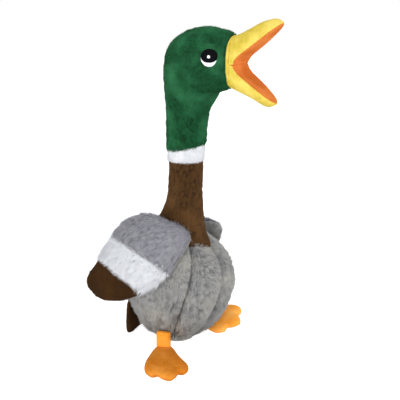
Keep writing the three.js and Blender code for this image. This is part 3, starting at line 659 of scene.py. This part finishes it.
def head_lay(place):
    """Pile runs back from the beak over the head and down the throat."""
    down = min(max((LAY_TURN - place.z) / LAY_TURN_RUN, 0), 1)
    return Vector((-1 + down, 0, -0.25 - down))


def eye_trim(place):
    """The pile is shaved short under the eyes, and a little round them, where its colour goes to the
    dark root colour, painted shade.
    """
    across = Vector((place.x, abs(place.y), place.z)) - EYE_PLACE
    grown = ease((across.length - EYE_SHAVED) / EYE_SHAVED_FADE)
    return EYE_SHAVED_PILE + (1 - EYE_SHAVED_PILE) * grown


grow_pile(head, GREEN_PILE, head_lay, lean=0.5, clump=GREEN_CLUMP, stray=0.6, parting=0.8,
          trim=eye_trim)
head.data.materials.append(GREEN_PLUSH)
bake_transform(head)
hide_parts("throat_cover_left", "throat_cover_right", "throat_wadding",
            "head_cover_left", "head_cover_right", "head_wadding")

# Eyes: satin-stitched discs on the sides of the head. A white disc carries a black pupil that
# leaves a white crescent below it, and a small white glint is worked into the pupil.

EYE_FACING = Vector((0.30, 0.95, 0.06)).normalized()
EYE_RADIUS = 10 * MM
EYE_SINK = 34 * MM


def stitched(name, color, shine):
    """Satin stitch: fine parallel threads with a soft shine."""
    material, tree, shader = new_material(name)
    fill(shader, {"Roughness": 0.6, "Specular IOR Level": shine})
    place = node(tree, "ShaderNodeTexCoord", (-900, 0))
    threads = node(tree, "ShaderNodeTexWave", (-650, 0), {"Scale": 420, "Distortion": 1.2},
                   bands_direction="Z")
    shaded = tuple(0.82 * value for value in linear(color)[:3]) + (1,)
    tint = node(tree, "ShaderNodeMix", (-350, 150), {6: shaded, 7: linear(color)},
                data_type="RGBA")
    bump = node(tree, "ShaderNodeBump", (-300, -200), {"Strength": 0.4, "Distance": 0.15 * MM})
    join(tree,
         (place, "Object", threads, "Vector"), (threads, "Fac", tint, "Factor"),
         (threads, "Fac", bump, "Height"), (tint, 2, shader, "Base Color"),
         (bump, "Normal", shader, "Normal"))
    return material


EYE_WHITE = stitched("eye white thread", "#f4f6fa", shine=0.1)
EYE_BLACK = stitched("eye black thread", "#08080c", shine=0.03)


def make_disc(word, side, name, radius, tall, up, low, high, material):
    """A thin stitched disc that follows the head, its rim rounded down to the cloth."""
    facing = Vector((EYE_FACING.x, side * EYE_FACING.y, EYE_FACING.z))
    across = Vector((0, 0, 1)).cross(facing).normalized() * side
    rise = across.cross(facing).normalized()
    if rise.z < 0:
        rise.negate()
    centre = Vector((EYE_PLACE.x, side * EYE_PLACE.y, EYE_PLACE.z))
    bm = bmesh.new()
    bmesh.ops.create_uvsphere(bm, u_segments=40, v_segments=16, radius=1)
    for vert in bm.verts:
        x = vert.co.x * radius
        y = up + vert.co.y * radius * tall
        sink = (x * x + y * y) / (2 * EYE_SINK)
        level = low + (high - low) * (0.5 + 0.5 * vert.co.z)
        vert.co = centre + across * x + rise * y + facing * (level - sink)
    bmesh.ops.recalc_face_normals(bm, faces=bm.faces)
    piece = new_piece(bm, f"eye_{name}_{word}_stitching")
    piece.data.shade_smooth()
    piece.data.materials.append(material)
    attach(piece, "head")
    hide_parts(f"eye_{name}_{word}")


for word, side in (("right", -1), ("left", 1)):
    make_disc(word, side, "white", radius=EYE_RADIUS, tall=1, up=0,
              low=-1.5 * MM, high=2.4 * MM, material=EYE_WHITE)
    make_disc(word, side, "pupil", radius=9.9 * MM, tall=0.83, up=1.9 * MM,
              low=-0.4 * MM, high=3.1 * MM, material=EYE_BLACK)
    make_disc(word, side, "glint", radius=1.8 * MM, tall=1, up=1.2 * MM,
              low=2.2 * MM, high=3.6 * MM, material=EYE_WHITE)

# Beak: smooth yellow plush over firm stuffing, held open by its cut. A band of it closes the
# front of the head, and the two halves are lined with orange that turns over in a fold at the
# corner of the mouth.

BEAK_HINGE = Vector((82, 0, 360)) * MM
BEAK_OPENING = math.radians(39)


def napped(name, deep, pale, dark):
    """Smooth short plush: a fine nap with broad soft patches where it is brushed."""
    # The dark colour is the nap's root colour, painted shade down in the nap and its partings.
    material = plush(name, dark, deep, pale, patch_amount=0.7, patch_scale=45, clump_scale=320,
                     sheen=0.35)
    tree = material.node_tree
    fill(tree.nodes["Principled BSDF"], {"Sheen Roughness": 0.4, "Sheen Tint": linear(pale)})
    place = node(tree, "ShaderNodeTexCoord", (-900, -250))
    grain = node(tree, "ShaderNodeTexNoise", (-700, -250), {"Scale": 1500})
    bump = tree.nodes["Bump"]
    fill(bump, {"Strength": 0.3, "Distance": 0.3 * MM})
    join(tree, (place, "Object", grain, "Vector"), (grain, "Fac", bump, "Height"))
    return material


YELLOW_CLOTH = napped("yellow cloth", "#d6b844", "#e2ca66", "#a99b34")
ORANGE_LINING = napped("orange lining", "#d0702a", "#d97f3e", "#b15718")
UPPER_ARCH = [(-9, 27), (4, 28.5), (16, 26), (26, 23), (38, 20.6), (53, 17.6), (63, 13.7),
              (71, 8.8), (75.5, 0)]
LOWER_ARCH = [(-9, 25), (6, 26), (14, 23.5), (28, 19.5), (43, 15.6), (57, 12.7), (63, 9),
              (68, 0)]
CORNER_EDGE = [(-9, 0), (0, 0), (3.1, -2.5), (5.4, -0.6), (7.3, 0.3), (13.5, 1.3), (20, 1.2),
               (40, 0.3), (76, 0)]
BEAK_WIDTHS = [(-9, 19.5), (8, 20), (20, 19.4), (40, 17.6), (60, 13.6), (70, 8.4), (76, 0)]
COVER_UNDER = -1.2
LINING_OVER = 2.0
LINING_UNDER = 0.3
LINING_NARROWER = 0.6
LINING_SHORTER = 1.2


def along_table(table, along):
    """A width or height read off a short list of places, smoothed between them."""
    last = len(table) - 1
    index = 0
    while index < last - 1 and along > table[index + 1][0]:
        index += 1
    span = table[index + 1][0] - table[index][0]
    share = min(max((along - table[index][0]) / span, 0), 1)
    return curve_point(table, (index + share) / last)[1]


def beak_turn(up):
    """A beak half's own axes: along it, and outward from the mouth."""
    along = Vector((math.cos(BEAK_OPENING), 0, up * math.sin(BEAK_OPENING)))
    outward = Vector((-math.sin(BEAK_OPENING), 0, up * math.cos(BEAK_OPENING)))
    return along, outward


def corner_lift(along):
    """How far a half's edge stands back: the two close at the corner of the mouth, then open
    quickly in a round."""
    return along_table(CORNER_EDGE, along)


def beak_shape(name, up, length, height_over, height_under, narrow):
    """A rounded form along a beak half: its arch outside and its flat side in the mouth."""
    along_axis, outward = beak_turn(up)
    bm = bmesh.new()
    bmesh.ops.create_uvsphere(bm, u_segments=48, v_segments=40, radius=1)
    start = BEAK_WIDTHS[0][0]
    end = BEAK_WIDTHS[-1][0]
    for vert in bm.verts:
        share = math.acos(max(-1, min(1, -vert.co.z))) / math.pi
        along = start + (length - start) * share
        ring = math.atan2(vert.co.y, vert.co.x)
        pinch = min(1.0, (math.sin(math.pi * min(share * 4, 0.5))) ** 0.5)
        width_share = (along - start) / (length - start)
        wide = along_table(BEAK_WIDTHS, start + (end - start) * width_share) - narrow
        wide = max(wide, 0) * pinch
        depth = height_over(along) if math.sin(ring) > 0 else height_under(along)
        across = wide * math.cos(ring)
        out = depth * math.sin(ring) * pinch + corner_lift(along)
        place = along_axis * along * MM + outward * out * MM + Vector((0, across * MM, 0))
        vert.co = BEAK_HINGE + place
    bmesh.ops.remove_doubles(bm, verts=bm.verts, dist=0.005 * MM)
    bmesh.ops.recalc_face_normals(bm, faces=bm.faces)
    return new_piece(bm, name)


def finish_cloth(piece, cell, rounds, material, nap=0.35 * MM, lay=(1, 0, 0)):
    """Evens the form out, lays its map and raises the short nap of the cloth."""
    even_out(piece, cell, rounds)
    lay_flat(piece)
    grow_pile(piece, nap, lay, lean=0.8, clump=3 * MM, stray=0.25)
    piece.data.materials.append(material)


def make_beak_half(word, up, arch):
    """The stuffed yellow cover of one half, and the orange lining on its flat side."""
    body = f"{word}_beak"
    length = arch[-1][0]

    def arched(along):
        return max(along_table(arch, along), 0)

    cover = beak_shape(f"{body}_cloth", up, length, arched, lambda along: COVER_UNDER, 0)
    finish_cloth(cover, CELL * 0.8, 3, YELLOW_CLOTH)
    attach(cover, body)
    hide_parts(f"{body}_cover", f"{body}_wadding")
    lining = beak_shape(f"{body}_lining_cloth", up, length - LINING_SHORTER,
                        lambda along: LINING_OVER, lambda along: LINING_UNDER, LINING_NARROWER)
    finish_cloth(lining, CELL * 0.7, 1, ORANGE_LINING)
    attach(lining, body)
    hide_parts(f"{body}_lining")


make_beak_half("upper", 1, UPPER_ARCH)
make_beak_half("lower", -1, LOWER_ARCH)

BAND_MIDDLE = (79, 0, 362.5)
BAND_HALF = (5.5, 21.5, 30.5)
FOLD_MIDDLE = (80, 0, 360.5)
FOLD_HALF = (5, 18.8, 7.5)
FOLD_CREASE = 0.5 * MM


def squarer(value, power):
    """Pushes a round form out towards its corners, the more so the lower the power."""
    return math.copysign(abs(value) ** power, value)


def stuffed(bm, middle, half, powers):
    """Shapes a ball into a cushion of those half sizes round the middle, in millimetres."""
    for vert in bm.verts:
        x, y, z = (squarer(value, power) for value, power in zip(vert.co, powers))
        place = (middle[0] + half[0] * x, middle[1] + half[1] * y, middle[2] + half[2] * z)
        vert.co = Vector(place) * MM


bm = bmesh.new()
bmesh.ops.create_uvsphere(bm, u_segments=40, v_segments=24, radius=1)
stuffed(bm, BAND_MIDDLE, BAND_HALF, (1, 1, 0.8))
band = new_piece(bm, "beak_band_cloth")
finish_cloth(band, CELL * 0.8, 2, YELLOW_CLOTH)
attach(band, "head")
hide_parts("beak_band", "beak_root_wadding")

bm = bmesh.new()
bmesh.ops.create_uvsphere(bm, u_segments=48, v_segments=32, radius=1)
stuffed(bm, FOLD_MIDDLE, FOLD_HALF, (0.6, 0.4, 0.8))
for vert in bm.verts:
    crease = math.sin((vert.co.z / MM - 355) * 1.3 + vert.co.y / MM * 0.05)
    vert.co.x += FOLD_CREASE * crease
fold = new_piece(bm, "mouth_fold_cloth")
finish_cloth(fold, CELL * 0.7, 1, ORANGE_LINING)
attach(fold, "head")
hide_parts("mouth_fold")

# Wings: soft pillows hung from the shoulder, grey plush above, then a white band and a short
# brown tip, with a grey cloth underneath. The long pile makes a ragged fringe round the edge.

WING_PILE = 6 * MM
WING_HALF = 11 * MM
WING_CURL = 150 * MM
WING_DROOP = 500 * MM
WING_FLAT_END = 51 * MM
WING_STAND_OFF = 11.9 * MM
WING_RISE = math.radians(33)
WING_TURN = math.radians(-88)
WING_ROOT = (11, -38.6, 80)
WING_TIP = (-54, -94.5, -2.3)
LEFT_WING_BACK = math.radians(22)
LEFT_WING_DROP = math.radians(26)
SHOULDER_RADIUS = 72
SHOULDER_CROWN = 58
WING_MIDDLE = Vector((58, 2)) * MM
WING_RIM = (66, 44)
RIM_START = 0.75
RIM_PILE = 0.85
RIM_FRINGE = 0.5
WING_CLUMP = 4.5 * MM
LONG_EDGE = 9 * MM
SHORT_PILE = 2.5 * MM
WING_OUTLINE = [(128, -4), (122.5, 11), (111.5, 24), (99, 33.5), (80, 42), (60, 46.5), (40, 48),
                (16, 42), (-5, 36.5), (-11, 27), (-8, 17), (5, -17), (14, -33), (32, -46.5),
                (52, -50.5), (66, -46), (88, -38), (104, -34.5), (121, -31.5), (128.5, -24)]
BROWN_TIP_PLUSH = plush("brown tip plush", "#1b0f03", "#45290a", "#55340c", patch_amount=0.4,
                        patch_scale=30, clump_scale=260, sheen=0.12)
WING_GREY = plush("wing grey plush", "#47474f", "#b0afb6", "#96959c", patch_amount=0.45,
                  patch_scale=30, clump_scale=190)


def wing_frame(back, drop):
    """Stands a wing's own axes beside the body, turned back and dropped round its middle."""
    level = Vector((-math.sin(WING_TURN), math.cos(WING_TURN), 0))
    shift = Matrix.Rotation(-back, 3, "Z") @ Matrix.Rotation(drop, 3, level)
    flat = math.cos(WING_RISE)
    facing = shift @ Vector((flat * math.cos(WING_TURN), flat * math.sin(WING_TURN),
                             math.sin(WING_RISE)))
    root = shift @ Vector(WING_ROOT) * MM
    tip = shift @ Vector(WING_TIP) * MM
    sideways = SHOULDER_RADIUS * math.hypot(facing.x, facing.y)
    bulge = math.hypot(sideways, SHOULDER_CROWN * facing.z) * MM
    root += facing * (bulge + WING_STAND_OFF - facing.dot(root))
    tip += facing * (bulge + WING_STAND_OFF - facing.dot(tip))
    along = (tip - root).normalized()
    across = facing.cross(along)
    matrix = Matrix((across, facing, along)).transposed().to_4x4()
    matrix.translation = root + Vector((0, 0, BODY_MIDDLE))
    return matrix


WING_FRAME = wing_frame(0, 0)
LEFT_FRAME = wing_frame(LEFT_WING_BACK, LEFT_WING_DROP)
TO_LEFT = Matrix.Scale(-1, 4, (0, 1, 0)) @ LEFT_FRAME @ WING_FRAME.inverted()
WING_BACK = WING_FRAME.inverted()
WING_ALONG = WING_FRAME.col[2].to_3d()


def closed_curve(points, share):
    """A point on the smooth closed curve through the points."""
    count = len(points)
    place = (share % 1.0) * count
    index = int(place)
    near = [Vector(points[(index + step) % count]) for step in (-1, 0, 1, 2)]
    return between(*near, place - index)


def pillow(outline, middle, half):
    """A flat cushion with the outline: x across, y through it, z along."""
    bm = bmesh.new()
    bmesh.ops.create_uvsphere(bm, u_segments=72, v_segments=24, radius=1)
    for vert in bm.verts:
        share = math.atan2(vert.co.y, vert.co.x) / math.tau
        reach = math.hypot(vert.co.x, vert.co.y)
        edge = closed_curve(outline, share) * MM
        along = middle.x + (edge.x - middle.x) * reach
        across = middle.y + (edge.y - middle.y) * reach
        vert.co = Vector((across, vert.co.z * half, along))
    bmesh.ops.recalc_face_normals(bm, faces=bm.faces)
    return bm


def keep(bm, point, away):
    """Cuts off what lies beyond a plane, and closes the cut."""
    parts = bm.verts[:] + bm.edges[:] + bm.faces[:]
    bmesh.ops.bisect_plane(bm, geom=parts, plane_co=point, plane_no=away, clear_outer=True)
    rim = [edge for edge in bm.edges if edge.is_boundary]
    bmesh.ops.holes_fill(bm, edges=rim, sides=0)


GREY_END = (Vector((0, 0, 53.5)) * MM, Vector((0.27, 0, 0.96)))
WHITE_END = (Vector((0, 0, 87)) * MM, Vector((0.2, 0, 0.98)))


def make_wing_piece(name, top, cuts, material, pile, parting, replaced):
    """A part of the wing cut from one pillow, for the near wing and mirrored for the far one."""
    bm = pillow(WING_OUTLINE, WING_MIDDLE, WING_HALF)
    keep(bm, Vector((0, 0, 0)), Vector((0, -1 if top else 1, 0)))
    for point, away in cuts:
        keep(bm, point, away)
    long_edges = [edge for edge in bm.edges if edge.calc_length() > LONG_EDGE]
    bmesh.ops.subdivide_edges(bm, edges=long_edges, cuts=3)
    for vert in bm.verts:
        beyond = max(vert.co.z - WING_FLAT_END, 0)
        sunk = vert.co.x**2 / (2 * WING_CURL) + beyond**2 / (2 * WING_DROOP)
        vert.co.y -= sunk
    bmesh.ops.transform(bm, matrix=WING_FRAME, verts=bm.verts)
    bmesh.ops.recalc_face_normals(bm, faces=bm.faces)
    piece = new_piece(bm, f"{name}_right_plush")
    even_out(piece, CELL, 3)
    lay_flat(piece)
    facing = WING_FRAME.col[1].to_3d()
    sign = 1 if top else -1

    def on_show(place, normal):
        """Only the face away from the wing's inside has pile."""
        return normal.dot(facing) * sign > 0.02

    def trim(place):
        """The pile is left longer round the rim, where it makes the fringe. Within the rim it is
        shorter and a little darker, painted shade.
        """
        local = WING_BACK @ place
        along, across = local.z - WING_MIDDLE.x, local.x - WING_MIDDLE.y
        rim = math.hypot(along / WING_RIM[0], across / WING_RIM[1]) / MM
        return RIM_PILE + RIM_FRINGE * min(max((rim - RIM_START) / (1 - RIM_START), 0), 1)

    grow_pile(piece, pile, WING_ALONG, lean=0.8, clump=WING_CLUMP, parting=parting,
              outside=on_show, trim=trim)
    piece.data.materials.append(material)
    twin = piece.copy()
    twin.data = piece.data.copy()
    twin.name = f"{name}_left_plush"
    bpy.context.scene.collection.objects.link(twin)
    twin.data.transform(TO_LEFT)
    twin.data.flip_normals()
    for word, made in (("right", piece), ("left", twin)):
        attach(made, f"wing_{word}")
        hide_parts(*[f"{node_name}_{word}" for node_name in replaced])


def other_side(cut):
    """The same cut, to keep what it cuts off."""
    return cut[0], -cut[1]


make_wing_piece("wing_shoulder", True, [GREY_END], WING_GREY, WING_PILE, 0.8,
                ["wing_shoulder", "wing_wadding"])
make_wing_piece("wing_white_band", True, [other_side(GREY_END), WHITE_END], WHITE_PLUSH,
                1.3 * WING_PILE, 0.35, ["wing_white_band"])
make_wing_piece("wing_brown_tip", True, [other_side(WHITE_END)], BROWN_TIP_PLUSH,
                SHORT_PILE, 0.3, ["wing_brown_tip"])
make_wing_piece("wing_underside", False, [], GREY_PLUSH, SHORT_PILE, 0.3,
                ["wing_underside"])

# Tail: a flap of short dark brown plush that hangs from the body's back to the floor, two
# layers sewn round the edge with a little stuffing between, fuller below on the inner side.

TAIL_OUTLINE = [(0, 0), (0.5, 23), (9, 31), (23, 33), (38, 32.5), (46.6, 28), (47.4, 12),
                (47.4, -12), (46.6, -28), (38, -32.5), (23, -33), (9, -31), (0.5, -23)]
TAIL_MIDDLE = Vector((23, 0)) * MM
TAIL_HALF = 4.5 * MM
TAIL_FULLNESS = 2.2
TAIL_FULL_BY = 45 * MM
TAIL_CURL = 72 * MM
TAIL_SLOPE = 0.052
TAIL_X = -67.9 * MM
TAIL_TOP = 48 * MM
TAIL_PILE = 1.8 * MM

bm = pillow(TAIL_OUTLINE, TAIL_MIDDLE, TAIL_HALF)
for vert in bm.verts:
    across, through, down = vert.co
    bend = across**2 / (2 * TAIL_CURL)
    if through < 0:
        through *= 1 + TAIL_FULLNESS * ease(down / TAIL_FULL_BY)
    vert.co = Vector((TAIL_X - through + bend - down * TAIL_SLOPE, across, TAIL_TOP - down))
bmesh.ops.recalc_face_normals(bm, faces=bm.faces)
tail_flap = new_piece(bm, "tail_plush")
even_out(tail_flap, CELL, 3)
lay_flat(tail_flap)
grow_pile(tail_flap, TAIL_PILE, (0, 0, -1), lean=0.8)
tail_flap.data.materials.append(BROWN_TIP_PLUSH)
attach(tail_flap, "tail")
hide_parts("tail_cover_outer", "tail_cover_inner", "tail_wadding")

# Legs and feet: orange short plush. Each leg is a flat strap sewn to the body, and each foot a
# thin stuffed pad with three round toes, its upper and its sole joined by a seam round the edge.

# The strap's orange is the cloth's own colour. The near foot's darker copy of it is painted shade and
# the far foot's brighter copy is painted light. All three are the same cloth.
ORANGE_CLOTH = napped("orange cloth", "#ee9224", "#f7a540", "#c9771c")
PAINTED_SHADE_FOOT_FABRIC = napped("painted shade foot fabric", "#d07c1c", "#dd9038", "#ad600f")
PAINTED_LIGHT_FOOT_FABRIC = napped("painted light foot fabric", "#ffaa42", "#ffc069", "#ee9430")
LEG_REACH = 57.57 * MM
LEG_HIP = 27.23 * MM
FOOT_MIDDLE = Vector((36, 0)) * MM
FOOT_HALF = 6.6 * MM
FOOT_SUNK = 7.4 * MM - 9.5 * MM
FOOT_SEAM = -2 * MM
FOOT_NAP = 0.3 * MM
STRAP_THICK = 8 * MM
STRAP_WIDE = 17.5 * MM
STRAP_ROUND = 2.4 * MM
FOOT_OUTLINE = [(79, 2), (71.5, 9.5), (64, 13), (65.5, 19.5), (59, 25), (49, 25.6), (39, 22),
                (24, 16.5), (8, 13), (-3, 8), (-3.5, 0), (-3, -8), (4, -13), (15.5, -17.5),
                (27, -21.8), (36.5, -24.8), (46.5, -26.4), (57.5, -25.8), (67.5, -19.5),
                (66, -12), (73.5, -7)]
TOE_GAP = 11
TOE_START = 30
TOE_RUN = 25
WEB_DEPTH = 0.3


def make_leg(word, turn, ankle, foot_turn, roll, length, cloth):
    """One strap and its foot: turn is where the leg is sewn on, round the body."""
    place = Matrix.Translation((LEG_REACH * math.cos(turn), LEG_REACH * math.sin(turn), LEG_HIP))
    drop = LEG_HIP - ankle
    bm = bmesh.new()
    bmesh.ops.create_cube(bm, size=1)
    bmesh.ops.scale(bm, vec=(STRAP_THICK, STRAP_WIDE, drop + STRAP_THICK), verts=bm.verts)
    bmesh.ops.bevel(bm, geom=bm.edges[:], offset=STRAP_ROUND, segments=3, profile=0.5,
                    affect="EDGES", clamp_overlap=True)
    bmesh.ops.translate(bm, vec=(0, 0, -drop / 2), verts=bm.verts)
    bmesh.ops.transform(bm, matrix=place @ Matrix.Rotation(turn, 4, "Z"), verts=bm.verts)
    strap = new_piece(bm, f"leg_strap_{word}_cloth")
    finish_cloth(strap, CELL * 0.7, 3, ORANGE_CLOTH, lay=(0, 0, -1))
    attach(strap, f"leg_{word}")
    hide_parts(f"leg_strap_{word}")

    spot = Matrix.Translation((LEG_REACH * math.cos(turn), LEG_REACH * math.sin(turn), ankle))
    stand = spot @ Matrix.Rotation(foot_turn, 4, "Z") @ Matrix.Rotation(roll, 4, "X")
    for part, sign in (("upper", 1), ("sole", -1)):
        bm = bmesh.new()
        bmesh.ops.create_uvsphere(bm, u_segments=108, v_segments=24, radius=1)
        for vert in bm.verts:
            share = math.atan2(vert.co.y, vert.co.x) / math.tau
            flat = math.hypot(vert.co.x, vert.co.y) ** 0.6
            edge = closed_curve(FOOT_OUTLINE, share) * MM
            reach = FOOT_MIDDLE + (edge - FOOT_MIDDLE) * flat
            forward = ease((reach.x / MM - TOE_START) / TOE_RUN)
            gap = math.sin(math.atan2(reach.y, reach.x) * 90 / TOE_GAP) ** 2
            web = 1 - WEB_DEPTH * forward * gap if sign > 0 else 1
            height = math.copysign(abs(vert.co.z) ** 0.7, vert.co.z) * FOOT_HALF * web
            vert.co = Vector((reach.x * length, reach.y, height))
        keep(bm, Vector((0, 0, FOOT_SEAM)), Vector((0, 0, -sign)))
        if sign < 0:
            keep(bm, Vector((0, 0, -FOOT_HALF + 0.4 * MM)), Vector((0, 0, -1)))
        bmesh.ops.translate(bm, vec=(0, 0, FOOT_SUNK), verts=bm.verts)
        bmesh.ops.transform(bm, matrix=stand, verts=bm.verts)
        bmesh.ops.recalc_face_normals(bm, faces=bm.faces)
        pad = new_piece(bm, f"foot_{part}_{word}_cloth")
        finish_cloth(pad, CELL * 0.8, 2, cloth, nap=FOOT_NAP, lay=(1, 0, -0.3))
        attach(pad, f"foot_{word}")
        inside = [f"foot_wadding_{word}"] if sign > 0 else []
        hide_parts(f"foot_{part}_{word}", *inside)


# The near foot wears the painted shade copy of the cloth, and the far foot the painted light copy.
make_leg("right", turn=math.radians(-78), ankle=9.5 * MM, foot_turn=math.radians(-52), roll=0,
         length=1, cloth=PAINTED_SHADE_FOOT_FABRIC)
make_leg("left", turn=math.radians(94), ankle=19.5 * MM, foot_turn=math.radians(-14),
         roll=math.radians(24), length=0.93, cloth=PAINTED_LIGHT_FOOT_FABRIC)

# Squeaker: a thin blown bulb of pale vinyl with a small hard plastic reed tube pressed into its
# neck, loose in a pocket in the middle of the body's stuffing.


def moulded(name, color, rough):
    """A moulded plastic: faint clouds in its colour and a slightly uneven skin."""
    material, tree, shader = new_material(name)
    fill(shader, {"Roughness": rough})
    place = node(tree, "ShaderNodeTexCoord", (-900, 0))
    clouds = node(tree, "ShaderNodeTexNoise", (-650, 0), {"Scale": 60})
    shaded = tuple(0.9 * value for value in linear(color)[:3]) + (1,)
    tint = node(tree, "ShaderNodeMix", (-350, 150), {6: shaded, 7: linear(color)},
                data_type="RGBA")
    bump = node(tree, "ShaderNodeBump", (-300, -200), {"Strength": 0.1, "Distance": 0.2 * MM})
    join(tree,
         (place, "Object", clouds, "Vector"), (clouds, "Fac", tint, "Factor"),
         (clouds, "Fac", bump, "Height"), (tint, 2, shader, "Base Color"),
         (bump, "Normal", shader, "Normal"))
    return material


for name, material in (("squeaker_bulb", moulded("squeaker vinyl", "#e9e4d4", rough=0.45)),
                       ("squeaker_tube", moulded("squeaker plastic", "#f2f2ee", rough=0.3))):
    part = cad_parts[name]
    part.data.materials.clear()
    part.data.materials.append(material)

# Camera, light and floor: a plain pale studio, seen from the duck's front right, a little
# above. Four round lamps light it softly, and the floor is white but for its soft shadow.

CAMERA_PLACE = Vector((0.4902, -0.7548, 0.420))
CAMERA_AIM = Vector((0.0224, 0.0145, 0.187))
CAMERA_LENS = 65.9
LAMP_AIM = (0, 0, 0.2)
SKY_STRENGTH = 0.55
FLOOR_HALF = 6
FLOOR_LIFT = 0.8

camera = bpy.data.objects.new("camera", bpy.data.cameras.new("camera"))
bpy.context.scene.collection.objects.link(camera)
camera.location = CAMERA_PLACE
camera.rotation_mode = "QUATERNION"
camera.rotation_quaternion = (CAMERA_AIM - CAMERA_PLACE).to_track_quat("-Z", "Y")
camera.data.lens = CAMERA_LENS
camera.data.sensor_width = 36
bpy.context.scene.camera = camera
bpy.context.scene.view_settings.view_transform = "Standard"


def area_light(name, place, size, energy):
    """A round soft lamp that faces the duck."""
    lamp = bpy.data.lights.new(name, "AREA")
    lamp.shape = "DISK"
    lamp.size = size
    lamp.energy = energy
    light = bpy.data.objects.new(name, lamp)
    bpy.context.scene.collection.objects.link(light)
    light.location = place
    light.rotation_mode = "QUATERNION"
    light.rotation_quaternion = (Vector(LAMP_AIM) - Vector(place)).to_track_quat("-Z", "Y")


area_light("key", (0.8, -1.5, 0.6), size=0.8, energy=19)
area_light("fill", (-0.8, -1.6, 0.45), size=1.2, energy=12)
area_light("side", (1.5, 0.5, 0.5), size=1.0, energy=11)
area_light("top", (0.1, 0.2, 1.9), size=1.2, energy=7)

world = bpy.data.worlds.new("studio")
bpy.context.scene.world = world
world.use_nodes = True
tree = world.node_tree
tree.nodes.clear()
rays = node(tree, "ShaderNodeLightPath", (-600, 200))
seen = node(tree, "ShaderNodeMath", (-400, 200), operation="MAXIMUM")
through = node(tree, "ShaderNodeMath", (-200, 200), operation="MAXIMUM")
lit = node(tree, "ShaderNodeBackground", (-200, 0),
           {"Color": (0.95, 0.97, 1.0, 1), "Strength": SKY_STRENGTH})
white = node(tree, "ShaderNodeBackground", (-200, -150), {"Color": (1, 1, 1, 1), "Strength": 1.0})
mixed = node(tree, "ShaderNodeMixShader", (50, 0))
out = node(tree, "ShaderNodeOutputWorld", (250, 0))
join(tree,
     (rays, "Is Camera Ray", seen, 0), (rays, "Is Glossy Ray", seen, 1), (seen, 0, through, 0),
     (rays, "Is Transmission Ray", through, 1), (through, 0, mixed, "Fac"),
     (lit, 0, mixed, 1), (white, 0, mixed, 2), (mixed, 0, out, "Surface"))

bm = bmesh.new()
bmesh.ops.create_grid(bm, x_segments=1, y_segments=1, size=FLOOR_HALF)
floor = new_piece(bm, "floor")
pale, tree, shader = new_material("pale floor")
fill(shader, {"Base Color": (0.9, 0.9, 0.9, 1), "Roughness": 0.9, "Emission Color": (1, 1, 1, 1)})
rays = node(tree, "ShaderNodeLightPath", (-600, 0))
lift = node(tree, "ShaderNodeMath", (-300, 0), {1: FLOOR_LIFT}, operation="MULTIPLY")
join(tree, (rays, "Is Camera Ray", lift, 0), (lift, 0, shader, "Emission Strength"))
floor.data.materials.append(pale)
